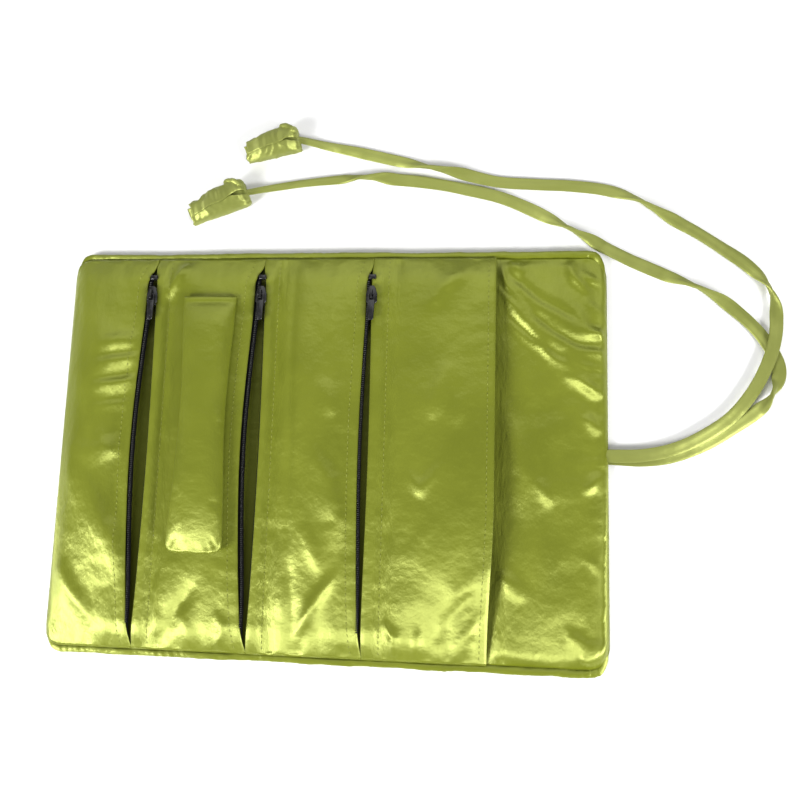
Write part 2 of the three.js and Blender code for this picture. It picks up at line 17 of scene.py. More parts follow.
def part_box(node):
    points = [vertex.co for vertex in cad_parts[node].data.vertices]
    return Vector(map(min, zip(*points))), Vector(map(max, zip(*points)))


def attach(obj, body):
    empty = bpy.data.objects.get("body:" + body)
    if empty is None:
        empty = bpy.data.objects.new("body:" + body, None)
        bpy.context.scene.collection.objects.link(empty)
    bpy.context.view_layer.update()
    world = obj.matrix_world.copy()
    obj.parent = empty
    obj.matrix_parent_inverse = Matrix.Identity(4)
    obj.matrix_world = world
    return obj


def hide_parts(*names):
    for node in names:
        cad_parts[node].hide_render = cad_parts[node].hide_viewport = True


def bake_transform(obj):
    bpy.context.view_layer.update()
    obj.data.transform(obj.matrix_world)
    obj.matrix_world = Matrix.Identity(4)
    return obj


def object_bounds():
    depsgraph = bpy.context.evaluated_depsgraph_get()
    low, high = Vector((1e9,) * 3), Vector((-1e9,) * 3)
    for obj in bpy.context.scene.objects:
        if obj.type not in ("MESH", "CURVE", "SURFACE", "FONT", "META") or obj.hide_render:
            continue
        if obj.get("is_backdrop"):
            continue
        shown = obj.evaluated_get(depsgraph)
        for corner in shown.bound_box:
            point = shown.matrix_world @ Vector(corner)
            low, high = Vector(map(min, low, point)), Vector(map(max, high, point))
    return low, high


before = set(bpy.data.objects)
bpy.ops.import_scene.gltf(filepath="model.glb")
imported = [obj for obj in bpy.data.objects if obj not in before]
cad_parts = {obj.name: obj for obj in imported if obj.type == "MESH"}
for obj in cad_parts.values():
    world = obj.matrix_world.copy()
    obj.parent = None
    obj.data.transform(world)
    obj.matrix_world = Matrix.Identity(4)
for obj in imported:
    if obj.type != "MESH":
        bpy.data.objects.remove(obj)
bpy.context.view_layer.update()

MM = 0.001


def show(name, data):
    """A new object in the scene, at the origin."""
    obj = bpy.data.objects.new(name, data)
    bpy.context.scene.collection.objects.link(obj)
    return obj


# %% [markdown]
# The photograph looks almost straight down from a short distance. The camera's place and turn were found by
# matching the four corners of the roll, so the render can be laid over the photograph.

# %% Camera
camera_lens = bpy.data.cameras.new("photo_camera")
camera_lens.lens = 35
camera_lens.sensor_width = 36
camera = show("photo_camera", camera_lens)
camera.location = (0.0773, -0.0267, 0.3729)
camera.rotation_euler = (0.1424, 0.1071, 0.0286)
bpy.context.scene.camera = camera
print("camera", camera.name, camera_lens.lens, "mm")

# %% [markdown]
# Satin is woven with long floating threads, so it mirrors a lamp as brushed metal does: in a streak square to the
# threads, bright where the cloth slopes to the lamp and deep where it turns away. A metal shader could fake this,
# but a dyed thread is no metal. Here the reflection is tinted yellow green and made anisotropic, with the threads
# along the depth of the roll. Thread streaks, small crinkles, larger crumples and a slow change of shade come from
# noise on the cloth's own UV map, where one unit is ten millimetres, so the weave follows the cloth when it folds.

# %% Satin
def new_material(name):
    """A material with its node tree and its main shader."""
    material = bpy.data.materials.new(name)
    material.use_nodes = True
    tree = material.node_tree
    return material, tree, tree.nodes["Principled BSDF"]


def feed(tree, node, inputs):
    """Sets a node's inputs: a plain value is written down, an output of another node is linked."""
    for name, value in inputs.items():
        if isinstance(value, bpy.types.NodeSocket):
            tree.links.new(value, node.inputs[name])
        else:
            node.inputs[name].default_value = value


def add(tree, kind, inputs):
    node = tree.nodes.new("ShaderNode" + kind)
    feed(tree, node, inputs)
    return node


def noise_on(tree, source, scale, detail, kind="FBM"):
    """A noise texture on the given coordinates, stretched by scale; ridged noise has sharp crests."""
    mapping = add(tree, "Mapping", {"Vector": source, "Scale": scale})
    texture = add(tree, "TexNoise", {"Vector": mapping.outputs["Vector"], "Scale": 1, "Detail": detail})
    texture.noise_type = kind
    return texture.outputs["Fac"]


def ramp(tree, source, stops):
    """A colour for each part of a grey pattern."""
    node = add(tree, "ValToRGB", {"Fac": source})
    for element, (place, colour) in zip(node.color_ramp.elements, stops):
        element.position = place
        element.color = (*colour, 1)
    return node.outputs["Color"]


def levels(tree, source, low, high):
    """The pattern, moved to run from low to high."""
    ends = {"From Min": 0.3, "From Max": 0.7, "To Min": low, "To Max": high}
    return add(tree, "MapRange", {"Value": source, **ends}).outputs["Result"]


def bump(tree, height, distance, strength, before=None):
    """Small relief in the shading; before is a relief that lies under it."""
    under = {} if before is None else {"Normal": before}
    inputs = {"Height": height, "Distance": distance, "Strength": strength, **under}
    return add(tree, "Bump", inputs).outputs["Normal"]


def satin(name, deep, pale, crinkle):
    """Woven satin from a deep to a pale shade; crinkle is the strength of its small relief."""
    material, tree, shader = new_material(name)
    place = add(tree, "TexCoord", {}).outputs["UV"]
    slow = noise_on(tree, place, (0.5, 0.35, 1), 2)
    threads = noise_on(tree, place, (42, 2.2, 1), 3)
    crinkles = noise_on(tree, place, (2.6, 2.0, 1), 5)
    crumples = noise_on(tree, place, (0.75, 0.6, 1), 2, "RIDGED_MULTIFRACTAL")
    across = add(tree, "Tangent", {})
    across.direction_type = "UV_MAP"
    relief = bump(tree, crumples, 0.6 * MM, crinkle)
    relief = bump(tree, crinkles, 0.5 * MM, crinkle, relief)
    feed(tree, shader, {
        "Base Color": ramp(tree, slow, [(0.3, deep), (0.7, pale)]),
        "Roughness": levels(tree, threads, 0.39, 0.48),
        "Normal": bump(tree, threads, 0.05 * MM, 0.5, relief),
        "Tangent": across.outputs["Tangent"],
        "Anisotropic": 0.85,
        "IOR": 2.3,
        "Specular Tint": (0.92, 1.0, 0.3, 1),
        "Sheen Weight": 0.05,
        "Sheen Roughness": 0.4,
        "Sheen Tint": (0.8, 0.85, 0.4, 1),
    })
    return material


outer_satin = satin("outer_satin", (0.108, 0.128, 0.0066), (0.138, 0.16, 0.011), 0.7)
lining_satin = satin("lining_satin", (0.111, 0.131, 0.0072), (0.142, 0.165, 0.0118), 0.7)
tie_satin = satin("tie_satin", (0.15, 0.168, 0.036), (0.19, 0.208, 0.055), 0.5)
print("satins", outer_satin.name, lining_satin.name, tie_satin.name)

# %% [markdown]
# The other finishes are plainer: a fine grain in the material gives the colour and, where it is asked for, the
# roughness and the relief. Only the zip tape differs, because its ribs run along the cloth and need its UV map.

# %% Plain finishes
def grained(name, grain, detail, stops, rough, relief=None, more=None):
    """A finish with a grain; rough is one value or a low and a high one, relief a depth and a strength."""
    material, tree, shader = new_material(name)
    pattern = noise_on(tree, add(tree, "TexCoord", {}).outputs["Object"], grain, detail)
    feed(tree, shader, {
        "Base Color": ramp(tree, pattern, stops),
        "Roughness": levels(tree, pattern, *rough) if isinstance(rough, tuple) else rough,
        **({"Normal": bump(tree, pattern, *relief)} if relief else {}),
        **(more or {}),
    })
    return material


def ribbed_tape(name):
    """Black woven tape with fine ribs and a little dust."""
    material, tree, shader = new_material(name)
    place = add(tree, "TexCoord", {}).outputs["UV"]
    ribs = add(tree, "TexWave", {"Vector": place, "Scale": 7, "Distortion": 1.2}).outputs["Fac"]
    dust = noise_on(tree, place, (3, 3, 3), 4)
    feed(tree, shader, {
        "Base Color": ramp(tree, dust, [(0.35, (0.0025, 0.0025, 0.003)), (0.75, (0.006, 0.006, 0.0065))]),
        "Normal": bump(tree, ribs, 0.1 * MM, 0.5),
        "Roughness": 0.9,
        "Specular IOR Level": 0.1,
    })
    return material


wadding = grained("white_wadding", (700, 700, 700), 5, [(0.3, (0.72, 0.7, 0.64)), (0.7, (0.86, 0.85, 0.8))], 0.95,
                  (0.4 * MM, 0.6))
zip_tape = ribbed_tape("woven_zip_tape")
nylon = grained("black_nylon", (900, 900, 900), 2, [(0.3, (0.004, 0.004, 0.0045)), (0.7, (0.009, 0.009, 0.01))],
                (0.3, 0.45))
enamel = grained("black_enamel", (420, 420, 420), 5, [(0.5, (0.006, 0.006, 0.0065)), (0.9, (0.04, 0.039, 0.038))],
                 (0.25, 0.42), (0.05 * MM, 0.3), {"Coat Weight": 0.15, "Coat Roughness": 0.2})
nickel = grained("nickel_snap", (300, 2200, 300), 4, [(0.3, (0.5, 0.5, 0.48)), (0.7, (0.66, 0.65, 0.62))],
                 (0.2, 0.36), more={"Metallic": 1})
thread = grained("sewing_thread", (1500, 1500, 1500), 2, [(0.3, (0.17, 0.19, 0.02)), (0.7, (0.26, 0.285, 0.04))], 0.6)
pale_floor = grained("pale_floor", (6, 6, 6), 3, [(0.3, (0.86, 0.86, 0.86)), (0.7, (0.9, 0.9, 0.9))], 0.8)
print("plain finishes", wadding.name, zip_tape.name, nylon.name, enamel.name, nickel.name, thread.name)

# %% [markdown]
# Most pieces here are grids that are bent into place, as a tailor cuts flat cloth first. A grid operator makes the
# flat cut and the UV map is laid on it; then its points are moved. A tube is a grid whose long edges meet and are
# welded, with its ends filled.

# %% Flat cuts and tubes
TOUCHING = 1e-7
UV_UNIT = 10
TUBE_GIRTH = 14


def piece(bm, name, material):
    """The finished bmesh as an object, shaded smooth."""
    mesh = bpy.data.meshes.new(name)
    bm.to_mesh(mesh)
    bm.free()
    mesh.materials.append(material)
    mesh.polygons.foreach_set("use_smooth", [True] * len(mesh.polygons))
    return show(name, mesh)


def faces_of(verts):
    return list({f for v in verts for f in v.link_faces})


def bend_grid(bm, columns, rows, place, size):
    """A flat grid whose points go to place(share across, share along), in mm; size is its flat size for the UV."""
    grid = bmesh.ops.create_grid(bm, x_segments=columns, y_segments=rows, size=1)["verts"]
    flat = np.array([v.co for v in grid])
    across, along = (flat[:, 0] + 1) / 2, (flat[:, 1] + 1) / 2
    uv = bm.loops.layers.uv.verify()
    shares = {v: (a * size[0] / UV_UNIT, b * size[1] / UV_UNIT) for v, a, b in zip(grid, across, along)}
    for face in faces_of(grid):
        for loop in face.loops:
            loop[uv].uv = shares[loop.vert]
    for vert, at in zip(grid, place(across, along)):
        vert.co = Vector(at) * MM
    return grid


def close_tube(bm, verts, sides):
    """Welds a bent grid along its meeting edges, fills both ends and gives back the edges of the ends."""
    bmesh.ops.weld_verts(bm, targetmap=bmesh.ops.find_doubles(bm, verts=verts, dist=TOUCHING)["targetmap"])
    left = {v for v in verts if v.is_valid}
    rims = [e for e in bm.edges if e.is_boundary and e.verts[0] in left]
    bmesh.ops.holes_fill(bm, edges=rims, sides=sides)
    bmesh.ops.recalc_face_normals(bm, faces=faces_of(left))
    return rims


def gone_along(line):
    """How far along a line each of its points lies."""
    return np.concatenate([[0], np.cumsum(np.linalg.norm(np.diff(line, axis=0), axis=1))])


def sweep(bm, line, around, section):
    """A closed tube along a line of points in mm; section(mm along, angle, point) gives steps sideways and up."""
    line = np.array(line, float)
    tangent = np.gradient(line, axis=0)
    side = np.stack([tangent[:, 1], -tangent[:, 0], 0 * tangent[:, 0]], axis=1)
    side /= np.linalg.norm(side, axis=1)[:, None]
    up = np.cross(side, tangent)
    up /= np.linalg.norm(up, axis=1)[:, None]
    gone = gone_along(line)

    def place(across, along):
        row = np.rint(along * (len(line) - 1)).astype(int)
        steps = section(gone[row], across % 1 * 2 * np.pi, line[row])
        return line[row] + side[row] * steps[0][:, None] + up[row] * steps[1][:, None]

    verts = bend_grid(bm, around, len(line) - 1, place, (TUBE_GIRTH, gone[-1]))
    for edge in close_tube(bm, verts, around):
        edge.smooth = False


def ball(bm, place, size):
    """A small ball at a place, stretched to the given half widths in mm."""
    stretch = Matrix.Diagonal((*(s * MM for s in size), 1))
    bmesh.ops.create_icosphere(bm, subdivisions=1, radius=1, matrix=place @ stretch)


def ripple(x, y, size, seed):
    """Smooth noise from about -1 to 1 on a plane, with bumps about size mm across."""
    return np.array([noise.noise((a / size, b / size, seed)) for a, b in zip(x, y)])


def shoulder(t):
    """From 0 to 1: steep at first, then rounded off."""
    return np.sin(np.pi / 2 * np.clip(t, 0, 1))


def ease(t):
    """From 0 to 1: slow at both ends."""
    t = np.clip(t, 0, 1)
    return t * t * (3 - 2 * t)


def bell(t, power=2):
    """A hump of height 1 at 0 that dies away on both sides; a higher power makes its top flatter."""
    return np.exp(-(t**power))


print("helpers ready")

# %% [markdown]
# Two ties leave the middle of the right edge. Each is a satin tube pressed flat, six millimetres wide, that lies
# loosely on the table, turns over here and there, and narrows where it is gathered into its end. A curve with a
# bevel would keep one width, so the tie is a swept tube along the same route as in the CAD model: percent of half
# the roll past its right edge, millimetres up from the middle, and 1 where it lies on the other tie or in its end.

# %% Tie routes
ROUTES = {
    "a": [
        (0, 0.5, 1), (10.4, 1, 1), (20.7, 4, 1), (30.4, 10, 1), (40, 19, 1), (47.4, 31, 1), (52.6, 44, 1),
        (55.6, 57, 1), (56.3, 70, 0.5), (54.1, 82, 0), (48.1, 92, 0), (39.3, 101, 0), (29.6, 110, 0),
        (19.3, 118, 0), (9.6, 126, 0), (-0.7, 131, 0), (-13.3, 133.5, 0), (-25.2, 134.5, 0), (-38.5, 136, 0),
        (-51.1, 140, 0), (-64.4, 144, 0), (-77.8, 148.5, 0), (-91.1, 153, 0), (-103.7, 157, 0), (-114.8, 160, 1),
    ],
    "b": [
        (0, -0.5, 0), (10.4, -1, 0), (20.7, 1, 0), (31.9, 7, 0), (41.5, 15, 0), (50.4, 24, 0), (55.6, 34, 0),
        (57, 43, 0), (54.1, 53, 0), (48.9, 63, 0), (40.7, 73, 0), (31.1, 81, 0), (19.3, 88, 0), (8.1, 95, 0),
        (-3, 103, 0), (-14.8, 112, 0), (-26.7, 121, 0), (-38.5, 128, 0), (-51.1, 132.5, 0), (-63.7, 136, 0),
        (-77.8, 138.5, 0), (-91.1, 139.5, 0), (-106.7, 138, 0), (-120, 136, 0), (-134.1, 132, 1),
    ],
}
TIE_START, RIGHT_EDGE, PERCENT = 131.5, 135.3, 1.35
BUD_TURNS, INTO_BUD = {"a": 194.5, "b": 202.8}, 5


def smooth_line(points, step):
    """A smooth line through the points, in even short steps, and its length."""
    points = np.array(points, float)
    ends = np.vstack([2 * points[0] - points[1], points, 2 * points[-1] - points[-2]])
    s = np.linspace(0, 1, 12, endpoint=False)[:, None]
    runs = [
        0.5 * (2 * b + (c - a) * s + (2 * a - 5 * b + 4 * c - d) * s**2 + (3 * b - a - 3 * c + d) * s**3)
        for a, b, c, d in zip(ends, ends[1:], ends[2:], ends[3:])
    ]
    line = np.vstack([*runs, points[-1:]])
    gone = gone_along(line)
    even = np.linspace(0, gone[-1], int(gone[-1] / step) + 1)
    return np.stack([np.interp(even, gone, line[:, k]) for k in range(3)], axis=1), gone[-1]


def route_line(label):
    """The tie's line in mm, run on a little way into its folded end, and its length."""
    points = [(RIGHT_EDGE + PERCENT * past, up, 1 + 2 * level) for past, up, level in ROUTES[label]]
    points.insert(0, (TIE_START, *points[0][1:]))
    x, y, z = points[-1]
    angle = math.radians(BUD_TURNS[label])
    points.append((x + INTO_BUD * math.cos(angle), y + INTO_BUD * math.sin(angle), z + 0.6))
    return smooth_line(points, 1.5)


tie_lines = {label: route_line(label) for label in ROUTES}
for label, (line, long) in tie_lines.items():
    print("tie", label, round(long), "mm long")

# %% Ties
# Where a tie turns over: mm along it, and over how many mm. How wide it is: mm back from its end, and its width.
TIE_TURNS = {
    "a": [(128, 30), (200, 44), (306, 46)],
    "b": [(86, 20), (152, 44), (218, 40), (326, 34)],
}
TIE_WIDTHS = {
    "a": [(0, 3.4), (14, 4.0), (40, 6.0)],
    "b": [(0, 3.0), (12, 3.4), (50, 4.6), (80, 6.2)],
}


def tie_tube(label):
    line, long = tie_lines[label]
    seed = ord(label)

    def section(gone, angle, _):
        turn = 0.2 * ripple(gone, 0 * gone, 31, seed + 2)
        for place, over in TIE_TURNS[label]:
            turn = turn + math.pi * ease((gone - place) / over + 0.5)
        half = np.interp(long - gone, *zip(*TIE_WIDTHS[label])) / 2 * (1 - 0.3 * np.sin(turn) ** 2)
        half *= 1 + 0.1 * ripple(gone, 0 * gone, 23, seed)
        flat = 0.7 * np.clip(3 / half, 1, 1.5)
        c, s = np.cos(angle), np.sin(angle)
        across = half * np.sign(c) * np.abs(c) ** 0.85
        crease = 0.2 * ripple(gone, angle * 3, 7, seed + 1) + 0.2 * np.cos(across / half * 5 + gone / 19)
        up = s * (flat + crease)
        lift = 0.8 * np.abs(np.sin(turn)) * half
        return across * np.cos(turn) - up * np.sin(turn), across * np.sin(turn) + up * np.cos(turn) + lift

    bm = bmesh.new()
    sweep(bm, line, 22, section)
    return piece(bm, f"satin_tie_{label}", tie_satin)


ties = {label: tie_tube(label) for label in ROUTES}
print("ties", [len(tie.data.polygons) for tie in ties.values()], "faces")

# %% [markdown]
# Each tie ends in a bud: a strip of satin wrapped round the end of the tie, cuffed back at the neck and pressed
# flat. It could be sculpted as one lump, but then its folds would be painted lines. Here it is laid up as it is
# sewn: a plump core, two wraps of cloth whose free edges overlap on top, and a rolled cuff at the neck.

# %% Folded buds
# Half width and height of the bud, from its neck at 0 to its tip at 1: a share of the width, and mm.
BUD_SIDES = [(0, 0.74), (0.03, 0.92), (0.1, 1.0), (0.5, 0.98), (0.8, 0.82), (1, 0.64)]
BUD_RISE = [(0, 2.5), (0.06, 3.7), (0.22, 4.5), (0.7, 3.9), (1, 2.5)]


def bud_place(label, long, wide, seed):
    """Where a point of the bud lies: t from the neck to the tip, an angle round it, and mm out from the core."""
    angle = math.radians(BUD_TURNS[label])
    forward = np.array([math.cos(angle), math.sin(angle), 0])
    aside = np.array([-forward[1], forward[0], 0])
    neck = np.array(tie_lines[label][0][-1]) * [1, 1, 0] - forward * INTO_BUD

    def at(t, round_it, out):
        half = wide / 2 * np.interp(t, *zip(*BUD_SIDES))
        rise = np.interp(t, *zip(*BUD_RISE))
        pleats = 0.3 * np.cos(9 * round_it + seed) * np.exp(-t / 0.13)
        soft = 0.45 * ripple(t * long, round_it * 5, 7, seed) + pleats
        crumple = 1 - 2 * np.abs(ripple(t * long, round_it * 5 + t * 9, 4.5, seed + 9))
        soft = soft + 0.5 * crumple * np.clip(out + 0.4, 0, 1)
        c, s = np.cos(round_it), np.sin(round_it)
        sideways = (half + out + soft) * np.sign(c) * np.abs(c) ** 0.72
        up = (rise + out + soft) * np.sign(s) * np.abs(s) ** 0.85
        spot = neck + forward * (t * long)[:, None] + aside * sideways[:, None]
        spot[:, 2] = np.maximum(rise + 0.5 + up, 0.35)
        return spot

    return at


def bud_core(bm, at):
    """The plump inside of the bud, closed at both ends."""
    def place(across, along):
        return at(along * 0.93, across % 1 * 2 * np.pi, -0.3)

    close_tube(bm, bend_grid(bm, 40, 24, place, (40, 30)), 40)


def bud_wrap(bm, at, under, edge, twist, out, tip, seed):
    """One wrap of cloth: from under the bud up to a free edge on top that stands off a little."""
    def place(across, along):
        t = along * (tip + 0.025 * ripple(across * 9, 0 * across, 2.2, seed))
        last = edge + twist * along + 0.08 * ripple(along * 30, 0 * along, 8, seed + 2)
        stand = out + 0.75 * across**6 + 0.3 * ease((along - 0.8) / 0.2)
        return at(t, under + (last - under) * across, stand)

    bmesh.ops.solidify(bm, geom=faces_of(bend_grid(bm, 36, 46, place, (20, 30))), thickness=0.45 * MM)


def bud_cuff(bm, at, first, last, seed):
    """The rolled edge at the neck: a short soft roll that lies across the bud."""
    share = np.linspace(0, 1, 26)
    line = at(0.05 + 0.24 * share**1.5, first + (last - first) * share, 0.9 + 0 * share)

    def roll(gone, round_it, _):
        thick = 1.35 * shoulder((gone + 0.8) / 2.5) * shoulder((gone.max() + 0.8 - gone) / 2.5)
        thick = thick * (1 + 0.15 * ripple(gone, round_it * 2, 4, seed))
        return thick * np.cos(round_it), thick * np.sin(round_it)

    sweep(bm, line, 12, roll)


def bud(label, long, wide, seed):
    at = bud_place(label, long, wide, seed)
    bm = bmesh.new()
    bud_core(bm, at)
    bud_wrap(bm, at, -0.9, 1.35, 0.5, 0.1, 1.0, seed + 4)
    bud_wrap(bm, at, math.pi + 0.9, 1.55, -0.25, 0.75, 0.95, seed + 6)
    bud_cuff(bm, at, 1.7, 3.0, seed + 8)
    bmesh.ops.recalc_face_normals(bm, faces=bm.faces)
    return piece(bm, f"folded_bud_{label}", tie_satin)


buds = {"a": bud("a", 28.5, 13.0, 2.0), "b": bud("b", 31.5, 13.5, 5.0)}
for label, tie in ties.items():
    line, long = tie_lines[label]
    for part, node in ((tie, f"tie_{label}"), (buds[label], f"tie_bud_{label}")):
        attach(part, "panel_5")
        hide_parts(node)
print("buds", [b.name for b in buds.values()])

# %% [markdown]
# The roll is four layers sewn together at its edge and along the fold lines. These are the main sizes of the cut,
# in millimetres, the same as in the CAD model: the fold lines, the zips, and how the pocket fronts rise from their
# sewn edges to a crown that leaves room for small things.

# %% Cut of the roll
FOLDS = (-81.5, -25.5, 29.5, 81.5)
MIDDLES = (-108.0, -53.5, 2.0, 55.5, 108.0)
SEAM_REACH, SEAM_CORNER, SEAM_END, EDGE_END, BARE_END = 96.2, 9.2, 131.2, 134.2, 131.0
SEWN, CROWN, LINING_TOP = 4.7, 8.8, 3.1
RISE_ACROSS, FOLD_GAP = 14, 0.3
BEND_FROM, BEND_TO = -3.5, 6.0
TURN_FROM, TURN_OVER = 131, 3.2
SLIP_EDGE, SLIP_LEAN = 81.2, 2.4
ZIPS = (-89.5, -33.5, 21.5)
ZIP_REACH, SLIT_REACH, SLIT_END = 95.5, 76, 1.1
# Half the widest gap of each zip, left and right, and how much tape shows beside it; below 0 it is covered.
SLIT_LEFT, SLIT_RIGHT = (4.4, 4.4, 2.8), 1.8
SHOWS_LEFT, SHOWS_RIGHT, HEM_GAP = (2.2, 2.6, 1.6), (0.6, 0.6, -1.2), 0.2
# How much of the crown is left at each fold with a pocket on both sides.
FOLD_LIFTS = (0.5, 0.5, 0.75)
# For each section, how far its middle stands above the crown, and over how many mm it falls to the near seam.
POCKET_FULL = (3.2, 0.0, 1.8, 3.2, 0.0)
POCKET_NEAR_FALL = (60.0, 16.0, 34.0, 60.0, 60.0)
FULL_AT = -16.0
BAR_X, BAR_SEWN, BAR_FREE, SNAP_Y = -59.0, 75.0, -50.0, -41


def reach_at(x):
    """Half the depth of the cloth at x, less at the rounded corners."""
    short = np.maximum(SEAM_CORNER - (EDGE_END - np.abs(x)), 0)
    return SEAM_REACH - SEAM_CORNER + np.sqrt(np.maximum(SEAM_CORNER**2 - short**2, 0))


def turned_down(x):
    """How far the cloth turns down over the piping at both ends of the roll."""
    return np.clip((np.abs(x) - TURN_FROM) / TURN_OVER, 0, 1) ** 2


def slit(widest, t):
    """Half the gap of an open zip, t from -1 to 1 across the roll."""
    share = np.minimum(np.abs(t) * ZIP_REACH / SLIT_REACH, 1)
    return SLIT_END + (widest - SLIT_END) * np.cos(np.pi / 2 * share) ** 1.3


def closing(t):
    """How much tape shows: the cloth closes over the zip past the slider's run, slowly at the near end."""
    y = t * SEAM_REACH
    return np.where(y > 0, 1 - ease((y - 82) / 11), 1 - np.clip((-y - 45) / 50, 0, 1) ** 3.5)


def front_edge(k, t):
    """The free edge of a pocket front, at its zip or, on the slip pocket, at its open side."""
    if k == 3:
        return SLIP_EDGE - SLIP_LEAN * ease((-t * SEAM_REACH - 20) / 76)
    return ZIPS[k] - HEM_GAP - (slit(SLIT_LEFT[k], t) + SHOWS_LEFT[k]) * closing(t)


def strip_edge(k, t):
    """The edge of the narrow strip at the other side of a zip."""
    return ZIPS[k] + HEM_GAP + (slit(SLIT_RIGHT, t) + SHOWS_RIGHT[k]) * closing(t)


def front_top(x, y):
    """Height of the pocket fronts, before they are filled and creased."""
    k = np.searchsorted(FOLDS, x)
    left = np.array([-EDGE_END, *(f + FOLD_GAP for f in FOLDS)])[k]
    right = np.array([*(f - FOLD_GAP for f in FOLDS), BARE_END])[k]
    strip = np.array([*(z + 4 for z in ZIPS), 1e6, 1e6])[k]
    valley = np.array([0, *FOLD_LIFTS, 0])[k]
    rise = 0.5 * shoulder((x - left) / 12) + 0.5 * ease((x - left) / 11)
    rise = valley + (1 - valley) * rise
    beyond = np.array([*FOLD_LIFTS, 0, 0])[k]
    fall = beyond + (1 - beyond) * shoulder((right - x) / np.maximum(right - strip, 1e-9))
    across = shoulder((reach_at(x) - np.abs(y)) / RISE_ACROSS)
    return SEWN + (CROWN - SEWN) * np.where(x > strip, fall, rise) * across


def fullness(x, y):
    """How the middle of a pocket stands above its zip: full near the middle, low towards the near seam."""
    k = np.searchsorted(FOLDS, x)
    left = np.array([-EDGE_END, *FOLDS])[k]
    right = np.array([*(z - 13 for z in ZIPS), 86.0, BARE_END])[k]
    share = np.clip((x - left) / (right - left), 0, 1)
    middle = np.where(k == 3, ease((x - 31) / 45), np.sin(np.pi * share) ** 0.8)
    room = reach_at(x)
    far = np.where(y > FULL_AT, (y - FULL_AT) / (room - FULL_AT), (FULL_AT - y) / (room + FULL_AT))
    full = np.array(POCKET_FULL)[k] * np.cos(np.pi / 2 * np.clip(far, 0, 1))
    seam = room - np.abs(y)
    low = np.where(y < 0, shoulder(seam / np.array(POCKET_NEAR_FALL)[k]) - shoulder(seam / RISE_ACROSS), 0)
    gape = np.where(k == 3, 2.6 * ease((x - 40) / 36) * bell((y + 34) / 25), 0)
    swell = np.where(k == 0, 0.8 * bell((x + 104) / 12) * bell((y - 58) / 19), 0)
    return middle * (full + (CROWN - SEWN) * low) + gape + swell * (0.25 + 0.75 * ease((-97 - x) / 7))


print("pocket fronts rise from", SEWN, "to", CROWN + max(POCKET_FULL), "mm")

# %% [markdown]
# Thin satin that is sewn to padding never lies flat: it has a few long soft creases, and along every seam small
# gathers that stand square to the stitches. Each crease is a stroke: a line of points, a width, and a height that
# is negative for a valley. The strokes follow the photograph, section by section.

# %% Creases
CREASES = [
    ([(-118, 54), (-106, 52), (-95, 55)], 6.5, 0.6),
    ([(-108, 4), (-102, -6)], 6, 0.7),
    ([(-126, -6), (-113, -26), (-102, -47), (-96, -64)], 6.5, 1.8),
    ([(-128, -56), (-119, -70), (-108, -86)], 5, 1.5),
    ([(-129, 2), (-116, -4), (-103, 2)], 6, 0.6),
    ([(-103, -36), (-98, -46), (-97, -56)], 3, 0.6),
    ([(-120, 84), (-116, 60), (-117, 30)], 7, 0.5),
    ([(-72, 94), (-78, 85), (-83, 74)], 3, 1.5),
    ([(-58, -64), (-68, -78), (-73, -92)], 4, -1.0),
    ([(-44, -40), (-42, -60), (-41, -84)], 3.5, 0.9),
    ([(-48, -76), (-43, -84), (-48, -95)], 1.8, 1.0),
    ([(-78, -60), (-79, -76), (-76, -90)], 3.5, 0.8),
    ([(-66, -74), (-62, -84), (-60, -94)], 3, 0.7),
    ([(-17, 92), (-16.5, 41), (-15.5, 10), (-15, -30), (-13, -58)], 1.8, -1.4),
    ([(-11, 85), (-10, 40), (-9, 0)], 5, 0.7),
    ([(-1, 34), (5, 16)], 5, 0.9),
    ([(9, -56), (-1, -72), (-9, -87)], 3, 1.6),
    ([(-14, -52), (-12, -72), (-10, -85)], 2.6, -1.1),
    ([(-6, 2), (4, -14), (10, -32), (8, -50)], 5.5, 1.3),
    ([(-6, -34), (-2, -48), (4, -60)], 4, 1.0),
    ([(2, 88), (3, 50), (5, 44)], 3, 0.4),
    ([(49, 68), (56, 80), (68, 89)], 5, 1.0),
    ([(59, 44), (55, 28), (52, 14)], 4.5, 1.2),
    ([(68, 30), (63, 12)], 4, 0.8),
    ([(42, -10), (48, -18), (57, -6)], 2.6, 1.1),
    ([(70, -34), (58, -46), (49, -60), (46, -80)], 9, 0.8),
    ([(79, -50), (67, -62), (60, -80)], 6, 0.9),
    ([(74, -62), (62, -75), (54, -88)], 4, -1.0),
    ([(78, -72), (69, -84), (64, -94)], 4, 1.0),
    ([(32, -78), (37, -86), (37, -95)], 1.4, 1.3),
    ([(48, -81), (46, -94)], 1.5, 1.0),
    ([(82, 94), (87, 81), (96, 69), (102, 60), (107, 50)], 1.7, 1.7),
    ([(83, 80), (90, 72), (100, 59), (108, 45)], 1.5, 1.5),
    ([(87, 95), (95, 87)], 4, 1.0),
    ([(112, 47), (121, 43), (133, 39)], 3.6, 1.2),
    ([(113, 38), (123, 35), (133, 29)], 3.4, 1.3),
    ([(119, 68), (126, 59), (132, 57)], 2.6, 1.2),
    ([(121, 35), (131, 27)], 3, 0.9),
    ([(123, 19), (131, 11)], 3, 0.9),
    ([(114, 96), (118, 86), (126, 77)], 2.2, 1.4),
    ([(121, 89), (131, 82)], 2.4, 1.0),
    ([(122, 75), (131, 68)], 2.4, 0.8),
    ([(131, -7), (123, -18)], 3, 1.0),
    ([(124, -47), (132, -53)], 2.5, 0.8),
    ([(116, -80), (125, -88), (132, -84)], 3.6, 1.4),
    ([(121, -89), (126, -97)], 2, 1.0),
    ([(101, -11), (109, -24)], 4, 0.9),
    ([(85, -54), (96, -66)], 4.5, 1.0),
    ([(88, 20), (96, -10), (94, -30)], 6, 0.8),
]


